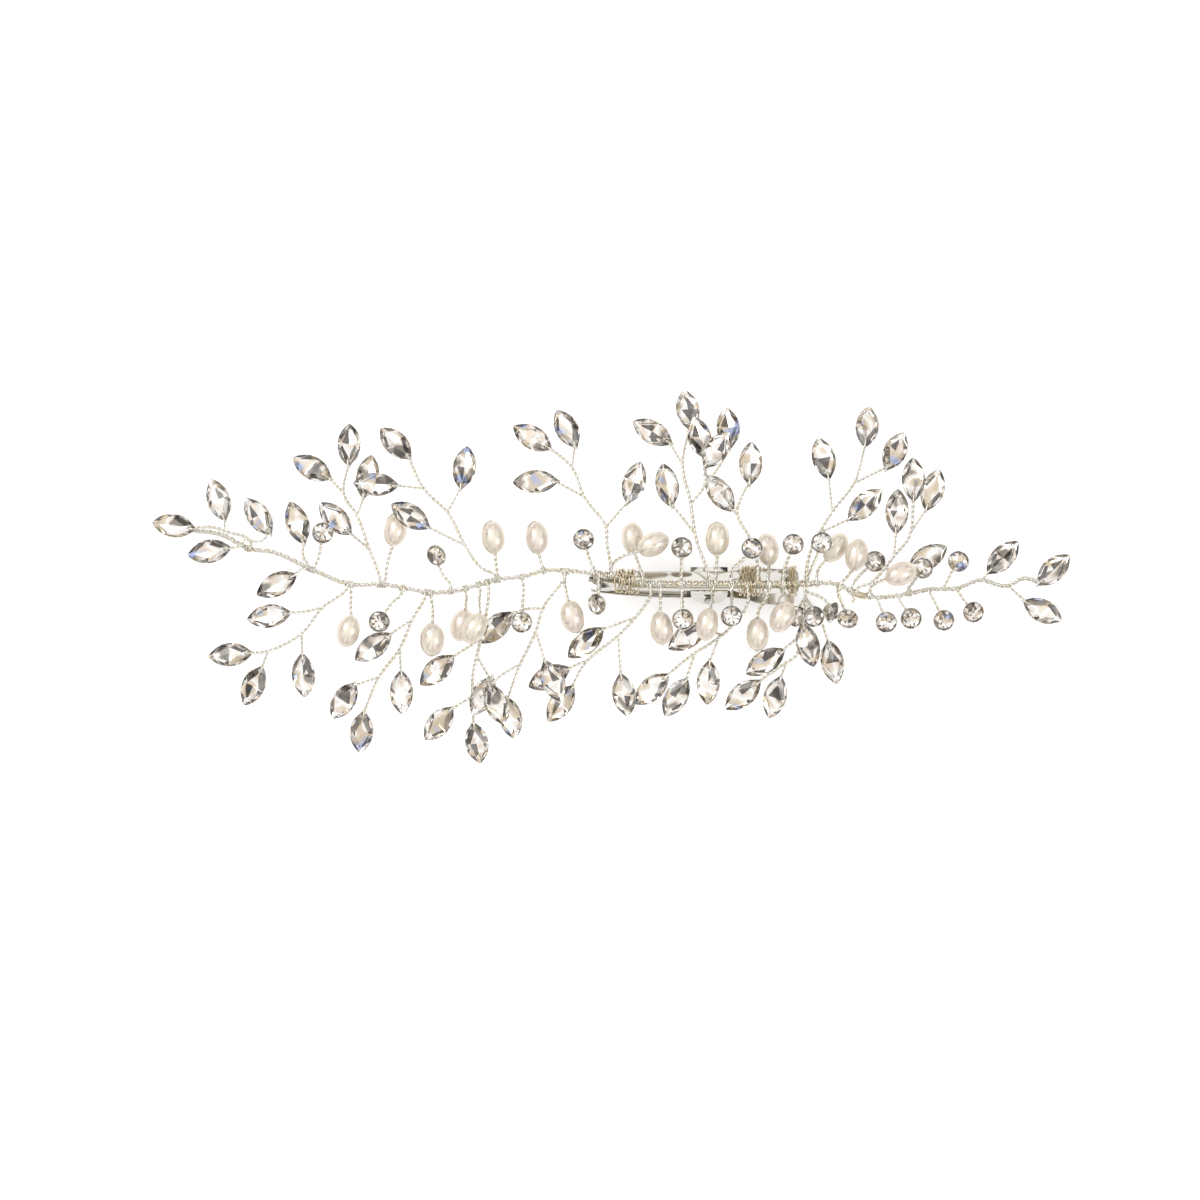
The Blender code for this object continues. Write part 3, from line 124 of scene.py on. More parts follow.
# Sprig: its wires, thickest first, its crystals as (base, heading in degrees, layer), and its
# rhinestones as (middle, how far the face leans, towards which heading, layer).
SPRIGS = {
    "sprig_left_tip": {
        "wires": [
            [(-93.6, 8.4), (-98.6, 10.6), (-102, 11.6), (-106.4, 11.4)], [(-99.2, 10.9), (-99.3, 13.6)],
            [(-95, 9), (-96, 7.6), (-98.4, 7.2)], [(-94.4, 8.8), (-91.2, 8.8), (-89.6, 10.6)],
        ],
        "crystals": [
            ((-105.4, 11.3), 172, 0), ((-99.2, 12.9), 109, 0), ((-97.8, 7.3), 190, 0),
            ((-89.4, 9.9), 125, 0),
        ],
    },
    "sprig_left_shoulder": {
        "wires": [[(-81.2, 3.4), (-82.4, 5), (-82.4, 8.6)], [(-81.2, 3.4), (-83.2, 2.5), (-84.6, 1.4)]],
        "crystals": [((-82.3, 7.9), 109, 0), ((-83.9, 1.7), 207, 0)],
    },
    "sprig_left_lower": {
        "wires": [
            [(-73.4, -1.6), (-78.5, -5.5), (-83, -11), (-90, -14.5), (-94, -15)],
            [(-78.2, -5.3), (-82, -6.2), (-85.7, -6.5)], [(-82.8, -10.8), (-82.9, -15.4)],
            [(-90, -14.5), (-91.5, -18.2)],
        ],
        "crystals": [
            ((-85.1, -6.4), 189, 0), ((-82.9, -14.9), 273, 0), ((-91.3, -17.7), 244, 0),
            ((-93.4, -14.9), 185, 0),
        ],
    },
    "sprig_left_upper": {
        "wires": [
            [(-66.2, 0.6), (-68.3, 6.2), (-71.2, 14), (-74, 18.5), (-73.2, 25)],
            [(-73.9, 18.7), (-77.2, 22.2)], [(-71.2, 14), (-70, 18.2)], [(-68.5, 7), (-72.7, 10.4)],
        ],
        "crystals": [
            ((-73.1, 24.4), 90, 0), ((-76.7, 21.8), 151, 0), ((-69.9, 17.5), 80, 0), ((-72.2, 9.9), 135, 1),
        ],
    },
    "sprig_mid_upper": {
        "wires": [
            [(-41.8, 1.3), (-45, 3), (-48, 7), (-52, 14.5), (-57, 19.5), (-60.3, 26.5)],
            [(-52, 14.8), (-49.4, 20)], [(-57.3, 19.6), (-62.9, 20.4)], [(-48.2, 7.8), (-56.3, 11.6)],
        ],
        "crystals": [
            ((-59.9, 26), 135, 0), ((-49.3, 19.4), 82, 0), ((-62.3, 20.3), 177, 1), ((-55.7, 11.3), 148, 1),
        ],
    },
    "sprig_mid_lower": {
        "wires": [
            [(-56.8, -3.2), (-59.5, -8), (-62, -13.8), (-66.5, -20), (-69.9, -27.8)],
            [(-59.4, -7.8), (-64.3, -11.1)], [(-62, -14), (-62, -19.1)], [(-66.5, -20), (-72, -21.8)],
        ],
        "crystals": [
            ((-63.9, -10.8), 216, 0), ((-62, -18.5), 271, 0), ((-71.6, -21.1), 237, 0),
            ((-70, -27.2), 264, 0),
        ],
    },
    "sprig_inner_lower": {
        "wires": [
            [(-43.4, -1.2), (-43.8, -6), (-45.2, -12.5), (-46.8, -20), (-46.9, -30.1)],
            [(-45.1, -12), (-51, -15.8)], [(-47, -24), (-51.5, -26.9)], [(-45.9, -15.6), (-42.9, -20.1)],
        ],
        "crystals": [
            ((-50.7, -15.4), 221, 0), ((-51.1, -26.3), 230, 0), ((-46.9, -29.5), 280, 0),
            ((-42.6, -19.7), 243, 0),
        ],
    },
    "sprig_fan_lower": {
        "wires": [
            [(-27.4, 0.9), (-28.4, -0.6), (-31.7, -4.9), (-33.6, -10.6), (-36.9, -17.5), (-38, -24.8)],
            [(-32, -5.6), (-35.4, -5.6), (-38.8, -6.8)], [(-36.8, -17), (-41.6, -20.2), (-43.4, -21.8)],
            [(-33.4, -10.4), (-31.7, -17)],
        ],
        "crystals": [
            ((-38.4, -6.3), 222, -1), ((-43.5, -21.2), 291, 2), ((-39.8, -24.1), 281, 1),
            ((-31.8, -16.4), 293, 1),
        ],
    },
    "sprig_upper": {
        "wires": [
            [(-17.8, 3.2), (-18.6, 8), (-18.8, 11.5), (-23.3, 17.8), (-26, 24.1), (-30.9, 28.4)],
            [(-26, 24), (-25.1, 28.9)], [(-23.3, 17.9), (-29.3, 21.3)], [(-18.8, 11.6), (-14.3, 17)],
        ],
        "crystals": [
            ((-30.2, 28), 149, 0), ((-24.9, 28.3), 118, 0), ((-28.7, 21.3), 182, 0), ((-14.3, 16.3), 73, 0),
        ],
    },
    "sprig_tip_lower": {
        "wires": [
            [(-9.4, -2.6), (-12.5, -7.3), (-16.2, -11.2), (-22.9, -16.8), (-26, -22.3)],
            [(-12.6, -7.4), (-16, -8.7), (-19.8, -10)], [(-16.2, -11.2), (-15.9, -19.7)],
            [(-22, -16), (-26.9, -18.3)],
        ],
        "crystals": [
            ((-19.3, -9.6), 220, 0), ((-15.8, -19.1), 280, 1), ((-26.3, -18), 205, 0),
            ((-25.6, -21.7), 235, 0),
        ],
    },
    "sprig_crown": {
        "wires": [
            [(2.7, 1.2), (0.2, 8.8), (-1.1, 17), (-2.7, 24.7), (-1, 32.6)], [(-2.7, 24.7), (-5.4, 29.5)],
            [(0, 10), (-5.1, 16.3)], [(-1, 16.4), (1.9, 20.4), (2, 26.6)],
            [(1.9, 20.4), (5.2, 24.6), (7.4, 28.7)], [(1.9, 22.4), (2.2, 24.4)],
        ],
        "crystals": [
            ((-0.9, 32), 98, 0), ((-4.8, 29.2), 150, 0), ((-5, 15.7), 101, 0), ((2, 26), 104, 1),
            ((7.4, 28), 95, 0), ((1.8, 23.8), 56, 2),
        ],
    },
    "sprig_rear_upper": {
        "wires": [[(12.9, 4.4), (11.3, 9.4), (8.7, 14.5), (9.5, 17.5), (11.5, 21)], [(9, 14.2), (7.6, 15.4)]],
        "crystals": [((11.5, 20.3), 88, 0), ((8.1, 14.8), 126, -1)],
    },
    "sprig_rear_lower": {
        "wires": [
            [(10.9, -4.6), (7.1, -9.8), (3, -13), (0, -14.8), (-6.2, -19.7)], [(0, -14.8), (-2, -20.8)],
            [(5.2, -11.6), (2.9, -17.1)], [(5.4, -11.2), (1.9, -9.2)],
        ],
        "crystals": [
            ((-5.6, -19.3), 222, 0), ((-1.7, -20.1), 240, 0), ((2.9, -16.4), 268, 0),
            ((2.5, -8.8), 213, -1),
        ],
    },
    "sprig_tail_lower": {
        "wires": [
            [(23, -1.4), (23, -9), (21.2, -15.3), (17.5, -18), (13.2, -21)], [(22.4, -10.8), (18.4, -14.4)],
            [(19.2, -16.8), (17.9, -20.4)], [(23, -4), (22.4, -9.3)],
            [(23, -3.4), (26.2, -8), (27.9, -12.7)], [(23, -3.2), (21.6, -5.6)], [(23, -3), (24.6, -5)],
            [(23.1, -2), (26.6, -3.4), (27.6, -5.2)],
        ],
        "crystals": [
            ((18.8, -14.1), 213, 0), ((13.7, -20.6), 220, 0), ((18, -19.7), 255, 0), ((22.3, -8.5), 285, 1),
            ((27.8, -12.1), 282, 0),
        ],
        "rhinestones": [((21.3, -7.2), 10, 270, 0), ((24.6, -7.2), 8, 270, 2), ((28.4, -6.3), 62, 340, 1)],
    },
    "sprig_tail_upper": {
        "wires": [
            [(23.2, 1.4), (24.1, 6.4), (28.6, 14.6), (33.3, 20.8), (35.8, 28.9)],
            [(33.2, 20.7), (40.6, 24.2)], [(28.6, 14.8), (28.1, 22.2)], [(26.4, 10.4), (32.7, 13.5)],
        ],
        "crystals": [
            ((35.8, 28.3), 83, 0), ((40.1, 23.5), 63, 0), ((28.2, 21.5), 104, 0), ((32.1, 12.9), 43, 0),
        ],
    },
    "sprig_right_upper": {
        "wires": [
            [(34.2, -1.2), (37, 0), (39.5, 2.6), (41.8, 5.6), (44.9, 9.5), (45.9, 17.4)],
            [(41.5, 5.4), (42.2, 10.6)], [(45, 10), (48.8, 15.5)], [(39.6, 2.7), (45.3, 3.2)],
        ],
        "crystals": [
            ((42.2, 10), 87, 0), ((45.9, 16.8), 90, 1), ((48.6, 14.9), 72, 0), ((44.8, 2.7), 30, -1),
        ],
    },
    "sprig_right_tail": {
        "wires": [
            TAIL + [(69.5, 0.8), (73, -0.2)], [(66, -0.6), (69.9, -3.7)], [(60.2, 0.3), (61.9, 2.3)],
            [(52.2, -1.4), (53.4, 1), (54.4, 3)], [(38.2, -3.2), (38.8, -5), (39.6, -6.8)],
            [(42.3, -2.9), (43.4, -4.6), (44.6, -6.2)], [(49, -1.7), (50.3, -4), (51.6, -6.6)],
            [(55, -1.3), (56.2, -3.2), (57.6, -5)],
        ],
        "crystals": [((61.6, 1.7), 46, 0), ((72.4, -0.7), 43, 0), ((69.3, -4), -26, 0)],
        "rhinestones": [
            ((55.4, 4.3), 10, 60, 0), ((40.1, -8.4), 10, 270, 0), ((45.3, -7.6), 10, 300, 0),
            ((52.3, -8), 12, 300, 0), ((58.6, -6.3), 12, 310, 0),
        ],
    },
}

# Pearl drop: its middle, its heading away from the stalk, its stalk and its layer.
PEARLS = [
    ((-73, -10.4), 255, [(-72.4, -1), (-72.5, -4.5)], 0),
    ((-63, 11), 82, [(-65.2, 0.8), (-64.5, 5)], 0),
    ((-42.4, 9.4), 97, [(-41.5, 1), (-41.9, 4)], 0),
    ((-55.2, -12.1), 270, [(-55.6, -2.8), (-55.2, -6)], 0),
    ((-49.1, -9.1), 255, [(-48, -1.5), (-48.2, -4)], -1),
    ((-46.4, -9.7), 240, [(-45.2, -0.7), (-45.4, -4)], 1),
    ((-33.2, 9.3), 95, [(-31.8, 2.5), (-32.4, 4)], 0),
    ((-13.2, 9.2), 95, [(-11, 1), (-11.8, 3.4)], -1),
    ((-8.9, 7.9), 26, [(-17.6, 3.2), (-16.6, 4.6)], 1),
    ((4.7, 9.1), 90, [(4.2, 1), (4.4, 3.4)], 0),
    ((15.2, 6.9), 98, [(15.2, 0.6), (15.4, 1.8)], -1),
    ((29.5, 7.2), 55, [(25.4, 0.6), (26, 3)], -1),
    ((33.8, 5.7), 78, [(31, 0.2), (32, 1.2)], 1),
    ((43, 1.7), 20, [(36.8, -1.3), (38, -0.2)], 1),
    ((-25.9, -7.3), 284, [(-27.5, 0.5), (-27.2, -2)], 0),
    ((-7.1, -9.7), 278, [(-7.4, -1.6), (-7.4, -4)], 0),
    ((2.4, -8.9), 260, [(3.6, -1.8), (3.4, -4)], 1),
    ((13, -11), 270, [(15.4, -1.8), (14.6, -4), (13.2, -6)], 0),
    ((18.1, -7.3), 242, [(18.4, -1.8), (19, -3)], 1),
]

# Rhinestone drop: its middle, its stalk, how far its face leans, towards which heading, and its layer.
RHINESTONES = [
    ((-78.4, 10.3), [(-80.2, 3), (-79.3, 5)], 8, 90, 0),
    ((-66.4, -8.3), [(-61, -1.7), (-64, -4.6)], 8, 230, 0),
    ((-54.6, 5.5), [(-50.8, -1.5), (-53, 1.4)], 35, 30, 0),
    ((-36.5, -8.4), [(-36.2, 1), (-36.2, -3)], 10, 270, 1),
    ((-23.5, 8.9), [(-21, 2.2), (-22, 4)], 8, 90, 0),
    ((-2.9, 7.2), [(-3.1, 0.4), (-3, 2.4)], 8, 90, 0),
    ((11.8, 7), [(7.4, 0.4), (7.8, 2.6), (9.6, 4.4)], 6, 90, 1),
    ((20.5, 7.9), [(18.4, 0.4), (18.8, 3)], 8, 60, 0),
    ((26.4, 8.2), [(23.4, 0.4), (24.4, 3)], 12, 120, 1),
    ((37.8, 4.3), [(32.4, -1.4), (34.6, 1.4)], 10, 60, -1),
    ((47.7, 2.9), [(43.8, -2.3), (45.4, -0.6)], 10, 45, 0),
    ((-20.6, -4.6), [(-20.4, 1.6), (-20.4, -1)], 40, 200, 0),
    ((-2.7, -7.8), [(-2.8, -1), (-2.8, -4)], 8, 270, 0),
    ((7.4, -7.1), [(7.6, -1.4), (7.6, -3)], 8, 270, 1),
    ((32, -7.6), [(29.4, -0.6), (30.6, -4)], 30, 250, 0),
]

# Lashing: from and to, along the clip from the hinge, millimetres.
LASHINGS = {
    "lashing_front": (-19.6, -15.4),
    "lashing_rear": (6.4, 10.8),
    "lashing_tail": (16.9, 18.3),
}

# ---------------------------------------------------------------- the vine's surface
def placed(point):
    """A layout point in metres."""
    return Vector((point[0] * MM, point[1] * MM))


def dome(point):
    """The stem's height at a plan point: level over the clip, falling away around it."""
    tip, tail = HINGE_X - JAW_LENGTH, HINGE_X + TAIL_LENGTH
    left = max(0, tip - point[0]) / DOME_LEFT_REACH
    right = max(0, point[0] - tail) / DOME_RIGHT_REACH
    side = max(0, abs(point[1]) - ARM_WIDTH) / (DOME_HALF_WIDTH - ARM_WIDTH)
    return -DOME_DROP * (left**2 + right**2 + side**2)


def raised(point, height):
    return Vector((point[0], point[1], dome(point) + height))


def toward(heading):
    return Vector((math.cos(math.radians(heading)), math.sin(math.radians(heading))))


def wobble(point):
    """A small turn about a stone's own length, so that no two stones face quite the same way."""
    return WOBBLE * math.sin(point[0] / WOBBLE_WAVE_X + point[1] / WOBBLE_WAVE_Y)


def gap_between(a, b):
    """The least plan distance between two routes, each a list of points."""
    return min(segment_gap(p, q, r, s) for p, q in zip(a, a[1:]) for r, s in zip(b, b[1:]))


def segment_gap(p, q, r, s):
    def cross(u, v):
        return u.x * v.y - u.y * v.x

    def reach(point, start, end):
        along = end - start
        share = min(1, max(0, (point - start).dot(along) / max(along.length_squared, TINY)))
        return (point - start - along * share).length

    if cross(q - p, r - p) * cross(q - p, s - p) < 0 and cross(s - r, p - r) * cross(s - r, q - r) < 0:
        return 0
    return min(reach(p, r, s), reach(q, r, s), reach(r, p, q), reach(s, p, q))


class Stone:
    """A crystal, pearl or rhinestone in plan, with the height that it settles at."""

    def __init__(self, owner, start, end, width, thickness, layer):
        self.owner, self.layer = owner, layer
        self.start, self.end = start, end
        self.width, self.thickness = width, thickness
        self.height, self.lean, self.heading = min(layer, 0) * SUNK_STEP, None, 0

    def slices(self):
        """Discs that fill the stone: plan middle, radius and half height."""
        for k in range(SLICES):
            share = (k + 0.5) / SLICES
            swell = math.sin(math.pi * share) ** FULLNESS
            yield self.start.lerp(self.end, share), self.width / 2 * swell, self.thickness / 2 * swell


def lift_over(first, second):
    """How far the first disc's middle must be above the second's."""
    near = (first[0] - second[0]).length / (first[1] + second[1] + STONE_CLEARANCE)
    return (first[2] + second[2] + STONE_CLEARANCE) * math.sqrt(1 - near**2) if near < 1 else None


def settle(stones, wires):
    """Raises each stone, lower layers first, until it clears the wires and stones that it covers."""
    done = []
    for stone in sorted(stones, key=lambda each: each.layer):
        needed = [stone.height]
        for owner, route, radius, level, carried in wires:
            above = carried is not None and carried.layer > stone.layer
            if owner == stone.owner or stone.layer < 0 or above:
                continue
            height = level if carried is None else (level + carried.height) / 2
            for middle, across, tall in stone.slices():
                near = gap_between([middle, middle], route) / (across + radius + STONE_CLEARANCE)
                if near < 1:
                    needed.append(height + (tall + radius + STONE_CLEARANCE) * math.sqrt(1 - near**2))
        for other in done:
            lifts = [lift_over(a, b) for a in stone.slices() for b in other.slices()]
            needed += [other.height + lift for lift in lifts if lift is not None]
        stone.height = max(needed)
        done.append(stone)


# ---------------------------------------------------------------- where the stones and wires stand
def along(start, end, turn=0.0):
    """A frame at start with X towards end and Z upwards, turned about X."""
    x = (end - start).normalized()
    y = Vector((0, 0, 1)).cross(x).normalized()
    facing = Matrix((x, y, x.cross(y))).transposed().to_4x4()
    return Matrix.Translation(start) @ facing @ Matrix.Rotation(turn, 4, "X")


def routed(points):
    return [placed(point) for point in points]


def level_of(name):
    """A sprig's wires pass over the stem, but the tail runs on at the stem's own level."""
    return 0.0 if name == "sprig_right_tail" else SPRIG_LEVEL


def thickness_of(name, k):
    """A sprig's first wire is its branch, and the others are twigs."""
    if k:
        return TWIG_DIAMETER
    return STEM_DIAMETER if name == "sprig_right_tail" else BRANCH_DIAMETER


def off_the_stem(route, level):
    """The route from where it first clears the stem's side."""
    reach = STEM_DIAMETER / 2 + BRANCH_DIAMETER / 2 + CLEARANCE
    needed = math.sqrt(max(0.0, reach**2 - level**2))
    mains = (routed(STEM), routed(TAIL))
    steps = 24
    for start, end in zip(route, route[1:]):
        for k in range(steps):
            point = start.lerp(end, k / steps)
            if min(gap_between([point, point], main) for main in mains) >= needed:
                return [point] + route[route.index(end):]
    return route[-1:]


def crystal_stone(name, base, heading, layer):
    start = placed(base)
    return Stone(name, start, start + toward(heading) * CRYSTAL.x, CRYSTAL.y, CRYSTAL.z, layer)


def pearl_stone(name, middle, heading, layer):
    half = toward(heading) * PEARL.x / 2
    return Stone(name, placed(middle) - half, placed(middle) + half, PEARL.y, PEARL.y, layer)


def chaton_stone(name, middle, lean, heading, layer):
    reach = Vector((0.01 * MM, 0))
    height = CHATON_HEIGHT + (CHATON_DIAMETER - CHATON_HEIGHT) * math.sin(math.radians(lean))
    stone = Stone(name, placed(middle), placed(middle) + reach, CHATON_DIAMETER, height, layer)
    stone.lean, stone.heading = math.radians(lean), heading
    return stone


def carried_by(route, stones):
    """The stone that a sprig's wire ends at, if it ends at one."""
    nearest = min(stones, key=lambda stone: (route[-1] - stone.start).length)
    return nearest if (route[-1] - nearest.start).length < CARRY_REACH else None


def climbing(route, low, end):
    """A route's 3-D points, climbing evenly from a height over the dome to its end's own height."""
    runs = [(b - a).length for a, b in zip(route, route[1:])]
    runs.append((end.to_2d() - route[-1]).length)
    rise = end.z - dome(end) - low
    return [raised(point, low + rise * sum(runs[:k]) / sum(runs)) for k, point in enumerate(route)] + [end]


def leaning(stone):
    return Matrix.Rotation(stone.lean, 3, Vector((*toward(stone.heading + 90), 0)))


def behind_the_stone(stone, come_from):
    """Where a stalk ends: in the back of a chaton's cup, on the side that the stalk comes from."""
    middle = raised(stone.start, stone.height)
    facing = leaning(stone) @ Vector((0, 0, 1))
    inward = raised(come_from, stone.height) - middle
    inward = (inward - facing * inward.dot(facing)).normalized()
    return middle - facing * CHATON_HEIGHT * STALK_DEPTH + inward * CHATON_DIAMETER * STALK_REACH


def wire_route(name, route, stones, is_twig):
    """A sprig wire's 3-D points: a branch stays level until its last stone, and a twig climbs to its own."""
    stone, level = carried_by(route, stones), level_of(name)
    if stone is None:
        return [raised(point, level) for point in route]
    if stone.lean is None:
        bite = (stone.end - stone.start).normalized() * BITE
        end = raised(stone.start + bite, stone.height)
    else:
        end = behind_the_stone(stone, route[-1])
    if is_twig:
        return climbing(route[:-1], level, end)
    return [raised(point, level) for point in route[:-1]] + [end]


def nearest_on(routes, point):
    """The place on the routes, seen in plan, that is nearest to a point."""
    best = None
    for route in routes:
        for start, end in zip(route, route[1:]):
            run = (end - start).to_2d()
            share = min(1, max(0, (point - start.to_2d()).dot(run) / max(run.length_squared, TINY)))
            place = start.lerp(end, share)
            if best is None or (place.to_2d() - point).length < (best.to_2d() - point).length:
                best = place
    return best


def ends_of(stone):
    return [raised(point, stone.height) for point in (stone.start, stone.end)]


def frame_of(stone):
    """A stone's place: a crystal from its base, a pearl and a chaton about its middle."""
    start, end = ends_of(stone)
    if stone.lean is not None:
        return Matrix.Translation(start) @ leaning(stone).to_4x4()
    standing = along(start, end, wobble(stone.start))
    if stone.thickness == PEARL.y:
        standing.translation = (start + end) / 2
    return standing


def sprig_routes(name, stones):
    """Every wire of a sprig: its 3-D points and its thickness, the branch first."""
    wires = [routed(wire) for wire in SPRIGS[name]["wires"]]
    routes = [wire_route(name, wires[0], stones, False)]
    for wire in wires[1:]:
        route = wire_route(name, wire, stones, True)
        route[0] = nearest_on(routes, wire[0])
        routes.append(route)
    return [(route, thickness_of(name, k)) for k, route in enumerate(routes)]


def clip_frame():
    """The arm's middle plane over the hinge, rolled so that the lower jaw shows along one side."""
    tilt = Matrix.Rotation(ROLL, 4, "X")
    stem_rise = ARM_THICKNESS / 2 + CLEARANCE + STEM_DIAMETER / 2
    below = tilt @ Vector((0, STEM_OFF_MIDDLE, stem_rise))
    return Matrix.Translation((HINGE_X, CLIP_SHIFT_Y, -below.z)) @ tilt


def plan_of_the_vine():
    """Every sprig's stones and every drop's stone and stalk, at the heights where they settle."""
    sprigs, drops = {}, {}
    for name, sprig in SPRIGS.items():
        sprigs[name] = [crystal_stone(name, *each) for each in sprig["crystals"]]
        sprigs[name] += [chaton_stone(name, *each) for each in sprig.get("rhinestones", [])]
    for k, (middle, heading, stalk, layer) in enumerate(PEARLS):
        name = f"pearl_drop_{k + 1:02d}"
        drops[name] = (pearl_stone(name, middle, heading, layer), stalk)
    for k, (middle, stalk, lean, heading, layer) in enumerate(RHINESTONES):
        name = f"rhinestone_drop_{k + 1:02d}"
        drops[name] = (chaton_stone(name, middle, lean, heading, layer), stalk)
    wires = [("main_stem", routed(STEM), STEM_DIAMETER / 2, 0.0, None)]
    for name, sprig in SPRIGS.items():
        for k, wire in enumerate(sprig["wires"]):
            route = routed(wire)
            carried = carried_by(route, sprigs[name]) if k else None
            wires.append((name, route, thickness_of(name, k) / 2, level_of(name), carried))
    for name, (stone, stalk) in drops.items():
        route = off_the_stem(routed(stalk), DROP_LEVEL)
        wires.append((name, route + [(stone.start + stone.end) / 2], BRANCH_DIAMETER / 2, DROP_LEVEL, stone))
        drops[name] = (stone, route)
    stones = [stone for group in sprigs.values() for stone in group]
    settle(stones + [drop[0] for drop in drops.values()], wires)
    for name, (stone, route) in drops.items():
        drops[name] = (stone, climbing(route, DROP_LEVEL, end_of_the_stalk(stone, route)))
    return sprigs, drops


def end_of_the_stalk(stone, route):
    """Where a drop's stalk goes into its stone."""
    if stone.lean is not None:
        return behind_the_stone(stone, route[-1])
    start, end = ends_of(stone)
    return start.lerp(end, BITE / PEARL.x)


# The layout's origin in the frame: the hinge pin lies at the clip's hinge.
low_corner, high_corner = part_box("hinge_pin")
ORIGIN = (low_corner + high_corner) / 2 - clip_frame() @ Vector((0, 0, -HINGE_DEPTH))
CLIP = Matrix.Translation(ORIGIN) @ clip_frame()
SPRIG_STONES, DROPS = plan_of_the_vine()


def drops_of(kind):
    """Each drop of a kind: its number, its name, its stone and its stalk."""
    names = [name for name in DROPS if name.startswith(kind)]
    return [(k + 1, name, *DROPS[name]) for k, name in enumerate(names)]


# ---------------------------------------------------------------- colours and finishes
def linear(code):
    """A linear colour from an sRGB hex value."""
    shares = [int(code[k:k + 2], 16) / 255 for k in (1, 3, 5)]
    return tuple(share / 12.92 if share <= 0.04045 else ((share + 0.055) / 1.055) ** 2.4 for share in shares)


def node(tree, kind, settings=(), links=()):
    """Adds a node: settings are its own properties or its inputs' values, and links feed its inputs."""
    made = tree.nodes.new(kind)
    for name, value in dict(settings).items():
        if isinstance(name, int) or name in made.inputs:
            made.inputs[name].default_value = value
        else:
            setattr(made, name, value)
    for name, socket in dict(links).items():
        tree.links.new(socket, made.inputs[name])
    return made


def spots(tree, size, detail=2.0, roughness=0.5):
    """Soft noise in the piece's own space, with spots of about the given size in metres."""
    place = node(tree, "ShaderNodeTexCoord").outputs["Object"]
    settings = {"Scale": 1 / size, "Detail": detail, "Roughness": roughness}
    return node(tree, "ShaderNodeTexNoise", settings, {"Vector": place}).outputs["Fac"]


def between(tree, share, low, high):
    """A number that follows a noise from its low value to its high one."""
    settings = {"From Min": 0.3, "From Max": 0.7, "To Min": low, "To Max": high}
    return node(tree, "ShaderNodeMapRange", settings, {"Value": share}).outputs["Result"]


def blended(tree, share, stops):
    """A colour that follows a share through stops of (place, colour)."""
    ramp = node(tree, "ShaderNodeValToRGB", (), {"Fac": share})
    while len(ramp.color_ramp.elements) < len(stops):
        ramp.color_ramp.elements.new(0.5)
    for element, (place, colour) in zip(ramp.color_ramp.elements, stops):
        element.position = place
        element.color = (*colour, 1)
    return ramp.outputs["Color"]


def shade(colour, factor):
    return tuple(min(1, channel * factor) for channel in colour)


def surface(name, fixed, noise, stops, rough=None, relief=None):
    """A new material: its shader's fixed values, and the noise and colour stops of its tone.

    Where it has them, rough is a noise with the least and most roughness, and relief is a noise with the
    strength and depth of a bump.  A noise is what spots() takes.
    """
    made = bpy.data.materials.new(name)
    made.use_nodes = True
    tree = made.node_tree
    shader = tree.nodes["Principled BSDF"]
    for socket, value in fixed.items():
        shader.inputs[socket].default_value = value
    tree.links.new(blended(tree, spots(tree, *noise), stops), shader.inputs["Base Color"])
    if rough:
        noise, low, high = rough
        tree.links.new(between(tree, spots(tree, *noise), low, high), shader.inputs["Roughness"])
    if relief:
        noise, strength, depth = relief
        settings = {"Strength": strength, "Distance": depth}
        bump = node(tree, "ShaderNodeBump", settings, {"Height": spots(tree, *noise)})
        tree.links.new(bump.outputs["Normal"], shader.inputs["Normal"])
    return made


def drawn_wire(name, colour, roughness):
    """Silver-plated brass wire, drawn and twisted: bright metal, with the brass warming it in patches."""
    warm = (colour[0] * 0.95, colour[1] * 0.92, colour[2] * 0.8)
    rough = ((0.6 * MM,), roughness, roughness + 0.14)
    relief = ((0.25 * MM,), 0.25, 0.02 * MM)
    return surface(name, {"Metallic": 1.0}, (2.5 * MM,), [(0.42, colour), (0.66, warm)], rough, relief)


def polished_plate(name, colour, roughness):
    """Nickel-plated steel, pressed and barrel-polished: mirror bright, with faint handling marks."""
    rough = ((1.2 * MM, 4.0, 0.6), roughness, roughness + 0.12)
    relief = ((2.2 * MM,), 0.3, 0.03 * MM)
    stops = [(0.35, shade(colour, 0.9)), (0.65, colour)]
    return surface(name, {"Metallic": 1.0}, (4 * MM,), stops, rough, relief)


def cut_glass(name, colour):
    """Lead crystal glass, cut and polished: clear and colourless, with strong sparkle at each facet."""
    fixed = {"Transmission Weight": 1.0, "IOR": 1.52, "Roughness": 0.0}
    return surface(name, fixed, (6 * MM,), [(0.4, colour), (0.6, shade(colour, 0.96))])


def foil_back(name, silver, blush, painted_dark_reflection):
    """Vacuum-silvered foil behind the glass: a mirror whose colour holds painted fire and painted dark
    reflections. Noise patches of blush, dark grey, warm gold and a little blue stand in for the coloured and
    dark flashes of its facets.
    """
    # Painted fire and painted dark reflections: the dark grey, blush, warm gold and blue stops follow noise,
    # not the real foil's own silver.
    stops = [
        (0.28, painted_dark_reflection), (0.36, blush), (0.43, shade(silver, 0.85)), (0.50, silver),
        (0.58, shade(blush, 0.9)), (0.68, linear("#D2C3A8")), (0.8, linear("#A9B6DC")),
    ]
    return surface(name, {"Metallic": 0.8, "Roughness": 0.04}, (3.2 * MM, 0.0, 0.4), stops)


def nacre(name, ivory, blush):
    """Pearl with a satin nacre: ivory layers that turn blush in patches, under a thin clear skin."""
    fixed = {"Metallic": 0.45, "IOR": 1.53, "Coat Weight": 0.25, "Coat Roughness": 0.25, "Coat IOR": 1.5}
    rough, relief = ((1.5 * MM,), 0.26, 0.34), ((1.1 * MM,), 0.12, 0.05 * MM)
    return surface(name, fixed, (5 * MM, 1.0), [(0.38, ivory), (0.62, blush)], rough, relief)


